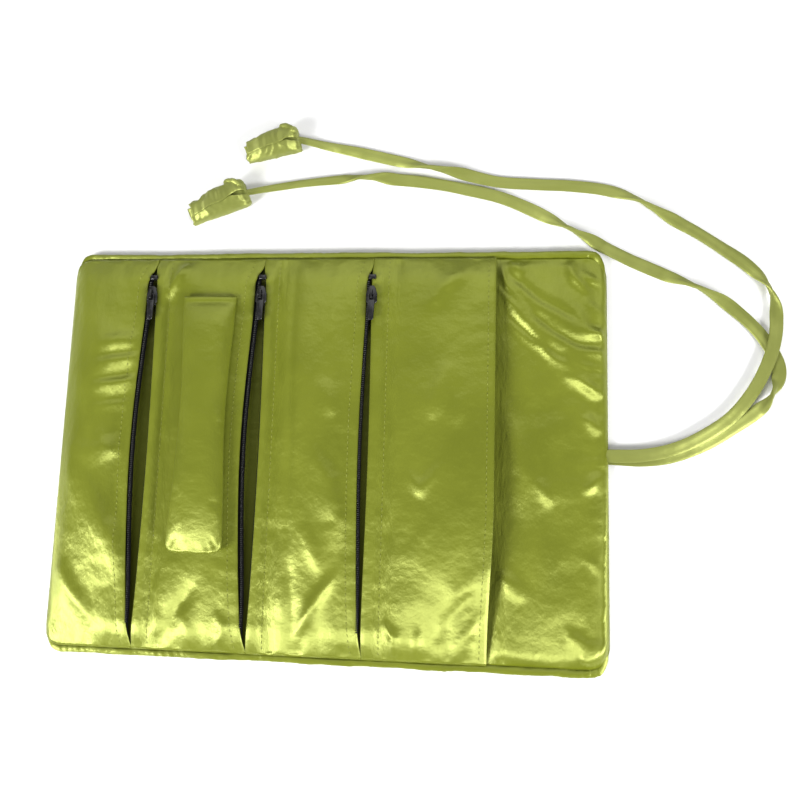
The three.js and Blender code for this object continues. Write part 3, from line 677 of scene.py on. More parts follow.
def stroke(x, y, route, wide, high):
    """A rounded crease along a line of points that fades out at both ends."""
    route = np.array(route, float)
    parts = np.hypot(*np.diff(route, axis=0).T)
    nearest, along, run = np.full(x.shape, 1e9), np.zeros(x.shape), 0
    for a, b, part in zip(route, route[1:], parts):
        t = np.clip(((x - a[0]) * (b[0] - a[0]) + (y - a[1]) * (b[1] - a[1])) / part**2, 0, 1)
        far = np.hypot(x - a[0] - t * (b[0] - a[0]), y - a[1] - t * (b[1] - a[1]))
        along = np.where(far < nearest, (run + t * part) / parts.sum(), along)
        nearest = np.minimum(far, nearest)
        run += part
    fade = np.sin(np.pi * (0.04 + 0.92 * along)) ** 0.8
    return high * fade * (1 + (nearest / wide) ** 2) ** -1.5


def gathers(along, away, reach, high, pitch, seed):
    """Small gathers along a seam: ridges square to it that start at the stitches and die away."""
    wave = ripple(along, 0 * along, pitch, seed) + 0.5 * ripple(along, 0 * along, pitch * 0.45, seed + 3)
    length = reach * (1 + 0.7 * ripple(along, 0 * along, pitch * 1.7, seed + 7))
    return high * wave * (1 - np.exp(-away / 0.7)) * np.exp(-away / np.maximum(length, 0.5))


def pleats(down, wander, high, pitch):
    """Lapped pleats: each slopes gently towards the near side and drops back steeply. down is mm across them."""
    share = (down + wander) / pitch % 1
    return high * np.where(share < 0.72, ease(share / 0.72 * 0.9 + 0.05), ease((1 - share) / 0.28))


def slack_patches(x, y):
    """Pleats where the cloth is slack: a slanting band in the bare section and a patch beside the first zip."""
    u = x - 105
    down = y + 0.7 * u - 0.008 * u**2
    band = bell((down - 63) / 15, 4) * ease((x - 85) / 7) * ease((134 - x) / 4)
    patch = bell((x + 104) / 10, 4) * bell((y - 38) / 17, 4)
    wander = 2.6 * ripple(x, y, 22, 12.4) + 0.8 * ripple(x, y, 9, 13.1)
    return band * pleats(down, wander, 2.1, 10.5) + patch * pleats(y - 0.25 * (x + 104), wander, 2.2, 11.5)


def creases(x, y):
    """All strokes and pleats, with slow swells and the gathers of the top and bottom seams."""
    total = 0.7 * ripple(x * 0.8 + y * 0.5, y * 0.7 - x * 0.35, 28, 4.2) + 0.24 * ripple(x, y * 0.8, 11, 8.6)
    total = total + slack_patches(x, y)
    for route, wide, high in CREASES:
        total = total + (1.3 + 0.14 * wide) * stroke(x, y, route, wide, high)
    edge = np.maximum(reach_at(x) - np.abs(y), 0)
    total = total * ease(edge / 5)
    frill = gathers(x + 300 * np.sign(y), edge, 6, 1.9, 5.5, 1.3)
    return total + frill * ease(edge / 1.6)


print(len(CREASES), "creases drawn")

# %% [markdown]
# Drawn creases alone look drawn. So the sheets that show, and later the tube of the ring bar, are settled as cloth:
# each is cut a few percent too large, held at its seams, and left to buckle for a few frames of Blender's Cloth
# simulation. It is made ten times larger for this, because the solver likes things the size of clothes. What it
# finds is read back and the simulated copy is thrown away, so no simulation stays on the piece. Last, what stands
# too high in a sheet is pressed down softly, because the sections have to lie on each other in the closed roll.

# %% Settle a sheet as cloth
SIM_SCALE = 10
# Height in mm up to which a cloth stands free, and the height that it never passes.
PATCH_ROOM, FRONT_ROOM, LINING_ROOM = (12.4, 13.9), (11.6, 13.2), (6.7, 7.4)


def slack_at(x, y):
    """How loose the cloth is, from 0 to 1: the pockets in their near half, the bare section in its far one."""
    pockets = 0.2 + 0.8 * ease((25 - y) / 60)
    bare = 0.15 + 0.75 * ease((y + 35) / 40)
    return np.where(x > FOLDS[3] + 2, bare, pockets)


def settle(bm, sewn, excess=0.035, push=0.3, frames=18, most=3.5):
    """Buckles a sheet that is held at the sewn points; no point moves further than most mm."""
    mesh = bpy.data.meshes.new("settling")
    bm.verts.index_update()
    bm.to_mesh(mesh)
    start = np.array([v.co for v in mesh.vertices])
    mesh.transform(Matrix.Scale(SIM_SCALE, 4))
    cloth = show("settling", mesh)
    cloth.vertex_groups.new(name="sewn").add([v.index for v in sewn], 1.0, "REPLACE")
    slack = cloth.vertex_groups.new(name="slack")
    for index, share in enumerate(slack_at(start[:, 0] / MM, start[:, 1] / MM)):
        slack.add([index], float(share), "REPLACE")
    modifier = cloth.modifiers.new("cloth", "CLOTH")
    rules = modifier.settings
    rules.quality = 5
    rules.mass = 0.3
    rules.tension_stiffness = rules.compression_stiffness = 25
    rules.shear_stiffness = 8
    rules.bending_stiffness = 8
    rules.air_damping = 2
    rules.vertex_group_mass = "sewn"
    rules.vertex_group_shrink = "slack"
    rules.shrink_min = 0
    rules.shrink_max = -excess
    rules.use_pressure = True
    rules.uniform_pressure_force = push
    rules.effector_weights.gravity = 0
    modifier.collision_settings.use_collision = False
    modifier.point_cache.frame_end = frames
    for number in range(1, frames + 1):
        bpy.context.scene.frame_set(number)
    settled = cloth.evaluated_get(bpy.context.evaluated_depsgraph_get()).data
    found = np.array([v.co for v in settled.vertices]) / SIM_SCALE
    bpy.context.scene.frame_set(1)
    bpy.data.objects.remove(cloth)
    bpy.data.meshes.remove(mesh)
    step = found - start
    far = np.linalg.norm(step, axis=1)
    step *= np.minimum(1, most * MM / np.maximum(far, 1e-9))[:, None]
    for vert, at in zip(bm.verts, start + step):
        vert.co = at
    print("settled by up to", round(far.max() / MM, 2), "mm")


def press(bm, free, most):
    """Presses down what stands above free mm, softly, so that nothing passes most mm."""
    for vert in bm.verts:
        over = vert.co.z / MM - free
        if over > 0:
            vert.co.z = (free + (most - free) * (1 - math.exp(-over / (most - free)))) * MM


print("settling at", SIM_SCALE, "times the size")

# %% [markdown]
# The pocket fronts are the cloths that show most. The first runs from the left edge to its zip. Each later one
# starts at the zip to its left, is sewn down at the fold line, and rises over its own pocket to the next zip or, on
# the slip pocket, to its open side. As one cloth across the fold it has to bend there, so its columns are close
# together in the bend. A free edge is turned under, as a hem.

# %% Pocket fronts
ROWS, SHEET_DEPTH = 156, 192
HEM_STITCH, HEM_STEPS, HEM_DROP = 4.6, (0.3, -0.35), 0.4


def straight(x):
    """A straight edge across the roll at x."""
    return lambda t: np.full(t.shape, float(x))


def cut_sheet(stops, rows, height, wide):
    """A sheet from seam to seam, lifted by height(x, y, t); a stop is an edge and the number of columns up to it."""
    counts = [n for _, n in stops[1:]]
    marks = np.concatenate([[0], np.cumsum(counts)]) / sum(counts)

    def place(across, along):
        t = along * 2 - 1
        edges = np.stack([edge(t) for edge, _ in stops])
        part = np.clip(np.searchsorted(marks, across, side="right") - 1, 0, len(counts) - 1)
        inside = (across - marks[part]) / (marks[part + 1] - marks[part])
        index = np.arange(len(across))
        x = edges[part, index] * (1 - inside) + edges[part + 1, index] * inside
        y = t * reach_at(x)
        return np.stack([x, y, height(x, y, t)], axis=1)

    bm = bmesh.new()
    bend_grid(bm, sum(counts), rows, place, (wide, SHEET_DEPTH))
    return bm


def front_height(k, x, y, t):
    """The creased pocket front of section k, kept calm at its stitched and hemmed edges."""
    fold = FOLDS[k - 1] if k else -EDGE_END
    past_fold = x > fold
    from_fold, from_edge = np.abs(x - fold), np.abs(front_edge(k, t) - x)
    calm = ease(from_fold / 4) * np.where(past_fold, ease(from_edge / (9 if k else 4)) * 0.85 + 0.15, 0.3)
    if k == 1:
        calm = np.maximum(calm, ease((y - 66) / 10))
    stitch = from_edge - HEM_STITCH
    lift = creases(x, y) * calm + gathers(y, from_fold, 4, 0.45, 7, 11 + k)
    lift = lift + np.where(past_fold, gathers(y, np.abs(stitch), 3.5, 0.45, 5, 21 + k), 0)
    lift = lift - 0.35 * bell(stitch / 0.8) * past_fold
    under_bar = ease((15.5 - np.abs(x - BAR_X)) / 3) * ease((BAR_SEWN + 5 - y) / 4) * ease((y + 5 - BAR_FREE) / 4)
    lift = np.where(lift > 0, lift * (1 - 0.75 * under_bar), lift)
    lowest = np.where(from_edge < 6, -0.25, -2.2)
    return front_top(x, y) + fullness(x, y) - 1.7 * turned_down(x) + np.maximum(lift, lowest)


def front_sheet(k):
    """The cloth of pocket front k, settled and pressed, before it is hemmed."""
    free = (partial(front_edge, k), 32 if k else 28)
    if k == 0:
        stops = [(straight(-EDGE_END), 0), (straight(-125), 9), free]
    else:
        fold = FOLDS[k - 1]
        bend = [(straight(fold + BEND_FROM), 2), (straight(fold + BEND_TO), 24)]
        stops = [(partial(strip_edge, k - 1), 0), *bend, free]
    bm = cut_sheet(stops, ROWS, partial(front_height, k), 56)
    inner = [v for v in bm.verts if not v.is_boundary]
    for _ in range(2):
        bmesh.ops.smooth_vert(bm, verts=inner, factor=0.4, use_axis_x=False, use_axis_y=False, use_axis_z=True)
    settle(bm, [v for v in bm.verts if v.is_boundary or (k and abs(v.co.x / MM - FOLDS[k - 1]) < 0.3)])
    press(bm, *(FRONT_ROOM if k else PATCH_ROOM))
    return bm


def in_hem(edge):
    """True for a free edge that runs across the roll, as a hem does."""
    return edge.is_boundary and abs(edge.verts[0].co.y - edge.verts[1].co.y) > 0.3 * MM


def turn_hem(bm, chosen, out):
    """Turns a free edge under: two narrow steps, one outwards and one back, each a little lower."""
    rim = [e for e in bm.edges if in_hem(e) and all(chosen(v.co.x / MM) for v in e.verts)]
    for step in HEM_STEPS:
        made = bmesh.ops.extrude_edge_only(bm, edges=rim)["geom"]
        verts = [g for g in made if isinstance(g, bmesh.types.BMVert)]
        bmesh.ops.translate(bm, verts=verts, vec=(out * step * MM, 0, -HEM_DROP * MM))
        rim = [g for g in made if isinstance(g, bmesh.types.BMEdge) and in_hem(g)]


def pocket_front(k):
    bm = front_sheet(k)
    from_x = ZIPS[k] - 12 if k < 3 else 78
    turn_hem(bm, lambda x: x > from_x, 1)
    if k:
        turn_hem(bm, lambda x: x < FOLDS[k - 1] - 3, -1)
    bmesh.ops.recalc_face_normals(bm, faces=bm.faces)
    return piece(bm, f"front_cloth_{k + 1}", lining_satin)


fronts = [pocket_front(k) for k in range(4)]
print("fronts", [len(front.data.polygons) for front in fronts], "faces")

# %% [markdown]
# A sheet has no thickness yet, so each one gets a Solidify modifier that grows it downwards by about half a
# millimetre. Then the first front is bound to the body of its section and rides on it. The others reach across the
# fold line between two sections; their place is only baked into their meshes, and nothing bends them at the fold.

# %% Thicken the fronts and bind the first
def thicken(obj, thickness):
    """Gives a sheet its thickness, away from its outer side."""
    solid = obj.modifiers.new("thickness", "SOLIDIFY")
    solid.thickness = thickness * MM
    solid.offset = -1


def bend_at(obj):
    """Bakes the piece's place into its mesh; it does not bend the piece at a fold."""
    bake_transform(obj)


for k, front in enumerate(fronts):
    thicken(front, 0.45)
    if k == 0:
        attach(front, "panel_1")
        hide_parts("pocket_front_1")
    else:
        bend_at(front)
        own = f"pocket_front_{k + 1}" if k < 3 else "slip_pocket_front"
        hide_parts(f"pocket_strip_{k}", own)

# %% [markdown]
# The lining and the outer cloth are each one long piece of satin. Each is cut into four in the middle of a section,
# where nothing moves, so that every part crosses one fold; nothing bends the parts there. The lining shows in the
# last section, which has no pocket: there it is padded and has its own creases.

# %% Lining and outer cloth
BARE_STEP, BARE_ROWS, LAYER_ROWS = 1.25, 160, 100


def bare_section(x, y):
    """How full the padded bare section stands above the flat lining."""
    from_end, from_seam = EDGE_END - x, reach_at(x) - np.abs(y)
    swell = ease((x - 77) / 8) * shoulder(from_end / (8 + 10 * ease((y - 5) / 30))) * shoulder(from_seam / 7)
    sides = ease(from_end / 3) * ease(from_seam / 3)
    pulled = gathers(y, from_end, 6, 1.0, 6, 31)
    dip = 0.5 * bell(y / 34)
    over = 1.4 * bell((x - 132) / 2.2) * ease(from_seam / 6) - turned_down(x)
    fuller = 0.7 * ease((y + 0.53 * (x - 105) - 46) / 22) * (1 - 0.6 * ease((y - 66) / 30))
    near = 1.6 * ease((-30 - y) / 56)
    return swell * (0.9 - dip + fuller + near) + over + (creases(x, y) * ease((x - 81) / 5) + pulled) * sides


def lining_height(x, y, _):
    flat = LINING_TOP + 0.15 * ripple(x, y, 17, 2.4)
    return np.where(x > 78, flat + np.maximum(bare_section(x, y), -0.4 - turned_down(x)), flat)


def outer_height(x, y, _):
    dents = 0.3 + 0.35 * ripple(x + y * 0.3, y, 24, 6.1) + 0.15 * ripple(x, y, 9, 7.7)
    for fold in FOLDS:
        away = np.abs(x - fold)
        dents = dents + 0.4 * bell(away / 1.5) + gathers(y, away, 5, 0.5, 6, fold)
    return 0.62 + np.clip(dents, 0, 0.9)


def layer(name, k, height, material, step, bare=False):
    """Part k of a layer, from the middle of section k to the middle of the next; bare where it shows at the end."""
    fold = FOLDS[k - 1]
    left = -SEAM_END if k == 1 else MIDDLES[k - 1]
    end = EDGE_END if bare else SEAM_END
    right = end if k == 4 else MIDDLES[k]
    stops = [(straight(left), 0), (straight(fold + BEND_FROM), int((fold - left) / step)),
             (straight(fold + BEND_TO), 26), (straight(right), int((right - fold) / (BARE_STEP if bare else step)))]
    bm = cut_sheet(stops, BARE_ROWS if bare else LAYER_ROWS, height, right - left)
    inner = [v for v in bm.verts if not v.is_boundary]
    bmesh.ops.smooth_vert(bm, verts=inner, factor=0.4, use_axis_z=True)
    bmesh.ops.recalc_face_normals(bm, faces=bm.faces)
    if bare:
        settle(bm, [v for v in bm.verts if v.is_boundary or v.co.x < (fold + 2) * MM])
    press(bm, *LINING_ROOM)
    return piece(bm, f"{name}_{k}", material), (right - left) * MM


for k in range(1, 5):
    sections = (k,) if k < 4 else (4, 5)
    lining, wide = layer("lining_cloth", k, lining_height, lining_satin, 3, bare=k == 4)
    thicken(lining, 0.4)
    bend_at(lining)
    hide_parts(*(f"lining_{n}" for n in sections))
    outer, wide = layer("outer_cloth", k, outer_height, outer_satin, 2.2)
    thicken(outer, 0.5)
    bend_at(outer)
    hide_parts(*(f"cover_{n}" for n in sections))
    print(lining.name, outer.name, len(lining.data.polygons), len(outer.data.polygons), "faces")

# %% [markdown]
# Between them lies thin white wadding. It never shows, but the roll would be empty without it: soft slabs that
# keep clear of the folds, so the roll can fold there.

# %% Wadding
WADDING_HEIGHT, WADDING_MIDDLE, WADDING_EDGE = 1.1, 1.85, 0.4
FROM_FOLD, FROM_END, FROM_SEAMS = 9, 2, 6

for k in range(1, 6):
    low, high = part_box(f"padding_{k}")
    left = low.x + (FROM_END if k == 1 else FROM_FOLD) * MM
    right = high.x - (FROM_END if k == 5 else FROM_FOLD) * MM
    bm = bmesh.new()
    bmesh.ops.create_cube(bm, size=1)
    size = (right - left, high.y - low.y - FROM_SEAMS * MM, WADDING_HEIGHT * MM)
    bmesh.ops.scale(bm, vec=size, verts=bm.verts)
    bmesh.ops.translate(bm, vec=((left + right) / 2, 0, WADDING_MIDDLE * MM), verts=bm.verts)
    long_edges = [e for e in bm.edges if abs(e.verts[0].co.z - e.verts[1].co.z) < 1e-6]
    bmesh.ops.subdivide_edges(bm, edges=long_edges, cuts=11, use_grid_fill=True)
    for v in bm.verts:
        v.co.z += 0.25 * MM * noise.noise(v.co * 60)
    sharp = [e for e in bm.edges if e.calc_face_angle(0) > 1]
    bmesh.ops.bevel(bm, geom=sharp, offset=WADDING_EDGE * MM, affect="EDGES", segments=2, profile=0.5, material=-1)
    batt = piece(bm, f"wadding_{k}", wadding)
    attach(batt, f"panel_{k}")
    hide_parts(f"padding_{k}")
print("wadding laid")

# %% [markdown]
# The piping is a cord wrapped in a bias strip of the same satin and sewn in all round. The bias strip twists a
# little, which leaves slanting wrinkles, and the edge of a sewn roll is never quite straight. It is cut in the
# middle of the sections too, so each part crosses one fold; nothing bends it there.

# %% Piping
PIPE_X, PIPE_Y, PIPE_Z, PIPE_CORNER, PIPE_RADIUS = 132.9, 97.9, 2.45, 7.9, 1.85
COVERED_FROM = 128.5


def piping_section(_, angle, at):
    """The cord in its puckered strip, thinner at the ends, where the cloth covers it."""
    x, y = at[:, 0], at[:, 1]
    slant = np.sin((x + y) * 1.9 + angle + 3 * ripple(x, y, 9, 5.5))
    puckers = 0.07 * slant * np.maximum(0.2 + 1.4 * ripple(x, y, 15, 9.9), 0)
    lumps = 0.3 * ripple(x + 5 * angle, y - 3 * angle, 7, 1.1) + 0.15 * ripple(x - 4 * angle, y, 3.2, 2.7)
    covered = ease((np.abs(x) - COVERED_FROM) / 3.5)
    radius = PIPE_RADIUS * (1 - 0.14 * covered) + (puckers + lumps) * (1 - 0.6 * covered)
    return radius * np.cos(angle), radius * np.sin(angle)


def edge_run(points):
    """A run of piping: the points, in short steps, with the edge's own slow waver."""
    line, _ = smooth_line(points, 0.8)
    x, y, z = line.T
    waver = 0.9 * ripple(x, y, 34, 3.3) + 0.3 * ripple(x, y, 13, 8.1)
    y -= np.abs(waver) * np.where(np.abs(y) > 97, np.sign(y), 0)
    covered = ease((np.abs(x) - COVERED_FROM) / 4)
    z[:] = PIPE_Z - 0.25 * covered + 0.35 * (1 - covered) * ripple(x, y, 26, 4.4)
    x -= 0.9 * covered * np.sign(x)
    return line


def corner(sx, sy, first, last):
    """A rounded corner, on the side that the signs name, from one angle to another."""
    steps = np.radians(np.linspace(first, last, 7))
    cx, cy = sx * (PIPE_X - PIPE_CORNER), sy * (PIPE_Y - PIPE_CORNER)
    return [(cx + sx * PIPE_CORNER * math.cos(a), cy + sy * PIPE_CORNER * math.sin(a), PIPE_Z) for a in steps]


def run_between(a, b):
    steps = max(int(math.dist(a, b) / 12), 2)
    return [(*(np.array(a) + (np.array(b) - np.array(a)) * i / steps), PIPE_Z) for i in range(steps + 1)]


def end_run(side, middle):
    """The piping round one end of the roll, from the middle of a section and back to it."""
    straight_top = run_between((middle, PIPE_Y), (side * (PIPE_X - PIPE_CORNER - 1), PIPE_Y))
    down = run_between((side * PIPE_X, PIPE_Y - PIPE_CORNER - 1), (side * PIPE_X, PIPE_CORNER + 1 - PIPE_Y))
    return (straight_top + corner(side, 1, 90, 0) + down + corner(side, -1, 0, 90)
            + [(x, -y, z) for x, y, z in straight_top[::-1]])


PIPING_NODES = {
    1: ["piping_1"], 2: ["piping_top_2", "piping_bottom_2"], 3: ["piping_top_3", "piping_bottom_3"],
    4: ["piping_top_4", "piping_bottom_4", "piping_5"],
}
for k in range(1, 5):
    bm = bmesh.new()
    if k in (1, 4):
        runs = [end_run(-1, MIDDLES[1]) if k == 1 else end_run(1, MIDDLES[3])]
    else:
        runs = [run_between((MIDDLES[k - 1], y), (MIDDLES[k], y)) for y in (PIPE_Y, -PIPE_Y)]
    for run in runs:
        sweep(bm, edge_run(run), 16, piping_section)
    cord_edge = piece(bm, f"edge_piping_{k}", outer_satin)
    bend_at(cord_edge)
    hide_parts(*PIPING_NODES[k])
    print(cord_edge.name, len(cord_edge.data.polygons), "faces")

# %% [markdown]
# The zips are black nylon coil zips. A coil is a stiff thread wound in loops and sewn along the edge of a woven
# tape. Winding a real helix would cost many faces, so each loop is a small stretched ball of twenty faces, set
# across the edge of the tape. The tape has a fine rib in its shading.

# %% Tapes and coils
COIL_PITCH, COIL_REACH, COIL_INSET, COIL_LEAN = 0.95, 83.4, 0.75, 0.14
LOOP_SIZE = (0.78, 0.34, 0.58)
# Width of each tape, how far its coil lies below the top of the pocket front, and how far the tape itself does.
TAPE_WIDE, COIL_DOWN, TAPE_DOWN = {-1: 4.7, 1: 3.4}, {-1: 0.15, 1: 1.1}, 0.98


def tape_edge(k, side, t):
    """The inner edge of a tape; side is -1 for the left tape of a zip and 1 for the right one."""
    return ZIPS[k] + side * slit(SLIT_LEFT[k] if side < 0 else SLIT_RIGHT, t)


def woven_tape(k, side, label):
    def place(across, along):
        t = (along * 2 - 1) * 0.985
        x = tape_edge(k, side, t) + side * (1 - across if side < 0 else across) * TAPE_WIDE[side]
        y = t * ZIP_REACH
        z = front_top(x, y) - TAPE_DOWN
        return np.stack([x, y, z + 0.05 * ripple(x, y, 8, 2.2)], axis=1)

    bm = bmesh.new()
    bend_grid(bm, 6, 110, place, (5, 188))
    bmesh.ops.recalc_face_normals(bm, faces=bm.faces)
    tape = piece(bm, f"woven_tape_{label}_{k + 1}", zip_tape)
    thicken(tape, 0.45)
    return tape


def coil_loops(k, side, label):
    """One row of the coil: a small ball for each loop, leaning a little."""
    ys = np.arange(-COIL_REACH, COIL_REACH + 0.1, COIL_PITCH)
    xs = tape_edge(k, side, ys / ZIP_REACH) + side * COIL_INSET
    zs = front_top(xs, ys) - COIL_DOWN[side]
    bm = bmesh.new()
    for at in zip(xs, ys, zs):
        ball(bm, Matrix.Translation(Vector(at) * MM) @ Matrix.Rotation(COIL_LEAN, 4, "Z"), LOOP_SIZE)
    return piece(bm, f"coil_loops_{label}_{k + 1}", nylon)


for k in range(3):
    for label, side in (("left", -1), ("right", 1)):
        tape, coil = woven_tape(k, side, label), coil_loops(k, side, label)
        for part, slot in ((tape, "zip_tape"), (coil, "zip_coil")):
            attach(part, f"panel_{k + 1}")
            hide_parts(f"{slot}_{label}_{k + 1}")
print("tapes and coils on", len(ZIPS), "zips")

# %% [markdown]
# Each slider is two small shields joined by a neck, with a bridge on top that holds the pull. The CAD model keeps
# it plain and sharp. Here every plate is drawn as an outline, pushed up into a solid, and its edges are rounded
# with a bevel, because stamped and enamelled metal has soft edges that catch the light.

# %% Sliders, pulls and stops
SLIDER_Y, SLIDER_WIDE, SLIDER_LONG = 76.0, 5.4, 9
PULL_LOW, PULL_HIGH = 11.05, 11.75
# Blocks of a slider: y from its middle, width, length, bottom, top and rounding, in mm.
SLIDER_BLOCKS = [
    (-2, 1.4, 3, 6.9, 9.9, 0.15), (-1.5, 1, 1.5, 10.3, 12.6, 0.2), (1.5, 1, 1.5, 10.3, 12.6, 0.2),
    (0, 1, 4.5, 12.1, 12.7, 0.2),
]
# Frame of a pull, round the bridge: x and y from its middle, width and length.
PULL_FRAME = [(0, 0, 3.5, 0.7), (-1.35, -1.6, 0.75, 3.2), (1.35, -1.6, 0.75, 3.2)]
PULL_TAB = [(-1.45, -12), (-0.9, -13), (0.9, -13), (1.45, -12), (1.75, -2.9), (-1.75, -2.9)]
PULL_RIB = [(-0.5, -11), (0.5, -11), (0.7, -4.4), (-0.7, -4.4)]


def plate(bm, outline, low, high, soften):
    """A flat plate: an outline is filled, pushed up, and its edges are rounded."""
    start = [bm.verts.new((x * MM, y * MM, low * MM)) for x, y in outline]
    made = bmesh.ops.extrude_face_region(bm, geom=[bm.faces.new(start)])["geom"]
    top = [g for g in made if isinstance(g, bmesh.types.BMVert)]
    bmesh.ops.translate(bm, verts=top, vec=(0, 0, (high - low) * MM))
    edges = list({e for v in start + top for e in v.link_edges})
    bmesh.ops.recalc_face_normals(bm, faces=list({f for e in edges for f in e.link_faces}))
    bmesh.ops.bevel(bm, geom=edges, offset=soften * MM, affect="EDGES", segments=2, profile=0.5, material=-1)


def shield(x, y, wide, long):
    """The outline of a slider plate: straight sides that taper at the far end."""
    half = wide / 2
    outline = [(-half, -long / 2 + 1), (-half + 1, -long / 2), (half - 1, -long / 2), (half, -long / 2 + 1),
               (half, 0.5), (half - 1, long / 2 - 0.8), (half - 1.8, long / 2), (-half + 1.8, long / 2),
               (-half + 1, long / 2 - 0.8), (-half, 0.5)]
    return [(x + a, y + b) for a, b in outline]


def box_outline(x, y, wide, long):
    return [(x - wide / 2, y - long / 2), (x + wide / 2, y - long / 2), (x + wide / 2, y + long / 2),
            (x - wide / 2, y + long / 2)]


def slider_body(n, x):
    """Two shields, the neck between them and the bridge on top."""
    bm = bmesh.new()
    for low, high, soften in ((6.3, 7.1, 0.22), (9.7, 10.5, 0.26)):
        plate(bm, shield(x, SLIDER_Y, SLIDER_WIDE, SLIDER_LONG), low, high, soften)
    for y, wide, long, low, high, soften in SLIDER_BLOCKS:
        plate(bm, box_outline(x, SLIDER_Y + y, wide, long), low, high, soften)
    return piece(bm, f"slider_body_{n}", enamel)


def pull_tab(n, x):
    """A frame round the bridge and a tapered tab with a raised rib."""
    bm = bmesh.new()
    for aside, y, wide, long in PULL_FRAME:
        plate(bm, box_outline(x + aside, SLIDER_Y + y, wide, long), PULL_LOW, PULL_HIGH, 0.16)
    plate(bm, [(x + a, SLIDER_Y + b) for a, b in PULL_TAB], PULL_LOW, PULL_HIGH, 0.2)
    plate(bm, [(x + a, SLIDER_Y + b) for a, b in PULL_RIB], PULL_HIGH - 0.05, PULL_HIGH + 0.14, 0.05)
    return piece(bm, f"pull_tab_{n}", enamel)


def end_stop(n, x):
    """A small block at the near end of the zip, as large as in the CAD model."""
    low, high = (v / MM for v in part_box(f"zip_stop_{n}"))
    bm = bmesh.new()
    plate(bm, box_outline(x, (low.y + high.y) / 2, high.x - low.x, high.y - low.y), low.z, high.z, 0.35)
    return piece(bm, f"end_stop_{n}", enamel)


for n, zip_x in enumerate(ZIPS, 1):
    for part, body, node in (
        (slider_body(n, zip_x), f"slider_{n}", f"zip_slider_{n}"),
        (pull_tab(n, zip_x), f"pull_{n}", f"zip_pull_{n}"),
        (end_stop(n, zip_x), f"panel_{n}", f"zip_stop_{n}"),
    ):
        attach(part, body)
        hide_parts(node)
print("sliders at", SLIDER_Y, "mm")

# %% [markdown]
# The ring bar is a stuffed satin tube that lifts at one end. It is sewn flat at its far end, swells in the
# middle and widens to a blunt near end with two puckered corners, which a snap holds down.

# %% Ring bar
# Puckers in the tube's upper side: a line of points, a width and a height. Its x is counted from the bar's middle.
BAR_PUCKERS = [
    ([(-13, -50), (-7.5, -41)], 1.2, -1.0), ([(-9.5, -51), (-6, -44)], 0.9, -0.8),
    ([(-4.5, -51), (-3.5, -46)], 0.9, -0.6), ([(0.5, -51), (1, -45)], 1.1, -0.7),
    ([(5, -51), (4, -46)], 0.9, -0.6), ([(9, -51), (6, -43)], 1.0, -0.8),
    ([(13, -50), (8, -41)], 1.2, -1.0), ([(-13, -20), (-8, -22)], 1.0, -0.6),
    ([(13, -28), (8, -26)], 1.0, -0.7), ([(13, 66), (11.5, 52), (12, 38)], 0.9, -1.2),
    ([(12, 20), (9, 12)], 1.2, 0.8), ([(-6, -30), (-3, -44)], 4, 0.5),
]
BAR_SIDES, BAR_ROWS, BAR_LONG = 56, 96, 125
BAR_SEAM = 1.3


def bar_under(y):
    """Height of the bar's underside, which rises from the sewn end over the snap."""
    return 9.5 + 1.9 * (BAR_SEWN - y) / (BAR_SEWN - SNAP_Y)


def bar_place(across, along):
    """Where a point of the tube lies: across goes round it and along runs from its free end to its sewn one."""
    y = BAR_FREE + (BAR_SEWN - BAR_FREE) * along
    from_free, from_sewn = y - BAR_FREE, BAR_SEWN - y
    waist = np.sin(np.pi * np.clip((1 - along) * 1.1, 0, 1)) ** 1.5
    half = (26.8 - 4.2 * waist + 0.9 * ease((-20 - y) / 26)) / 2
    half = half * (1 - 0.12 * np.exp(-from_free / 1.4))
    angle = across % 1 * 2 * np.pi
    c, s = np.cos(angle), np.sin(angle)
    u = np.sign(c) * np.abs(c) ** 0.8
    swell = shoulder(from_sewn / 16) * (0.22 + 0.78 * shoulder((from_free + 0.5) / 30))
    lift = np.abs(s) ** 0.9
    upper = np.where(s > 0, lift, 0)
    z = np.where(s > 0, BAR_SEAM + (0.7 + 4.6 * swell) * lift, BAR_SEAM - 1.2 * np.abs(s) ** 0.5)
    z = z + np.where(s > 0, 1, 0.4) * 0.7 * (u + 0.3) * ease((-8 - y) / 30)
    z = z + upper * gathers(u * half + 90, from_free, 5, 1.3, 5, 41)
    z = z + upper * gathers(y + 400, (1 - np.abs(u)) * half, 3.0, 0.8, 6, 43)
    z = z + upper * 0.35 * ripple(u * half, y, 15, 3.7)
    z = z + upper * (bell((from_sewn - 1.2) / 0.8) - 0.6 * bell((from_sewn - 3.4) / 0.9))
    for route, wide, high in BAR_PUCKERS:
        z = z + upper * stroke(u * half, y, route, wide, high)
    x = BAR_X + u * half + 0.35 * ripple(0 * y, y, 14, 6.6) * np.abs(u) ** 4
    y = y + (0.9 * np.abs(u) ** 5 + 0.7 * ripple(u * half, 0 * y, 6, 7.1)) * np.exp(-from_free / 6)
    return np.stack([x, np.clip(y, BAR_FREE - 1.0, BAR_SEWN), bar_under(y) + np.maximum(z, 0.1)], axis=1)


def bar_held(at):
    """True for the underside and both ends of the tube, which stay where they are while it settles."""
    return at.z / MM < bar_under(at.y / MM) + 1.6 or not BAR_FREE + 1.5 < at.y / MM < BAR_SEWN - 3


bm = bmesh.new()
close_tube(bm, bend_grid(bm, BAR_SIDES, BAR_ROWS, bar_place, (BAR_SIDES, BAR_LONG)), BAR_SIDES)
settle(bm, [v for v in bm.verts if bar_held(v.co)], excess=0.04, push=0.8, frames=16, most=1.8)
ring_bar = piece(bm, "ring_bar_tube", lining_satin)
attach(ring_bar, "ring_bar")
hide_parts("ring_bar_sleeve", "ring_bar_core")
print(ring_bar.name, len(ring_bar.data.polygons), "faces")

# %% [markdown]
# A press snap holds the bar's free end. Turned metal parts are drawn as half a profile and spun round.

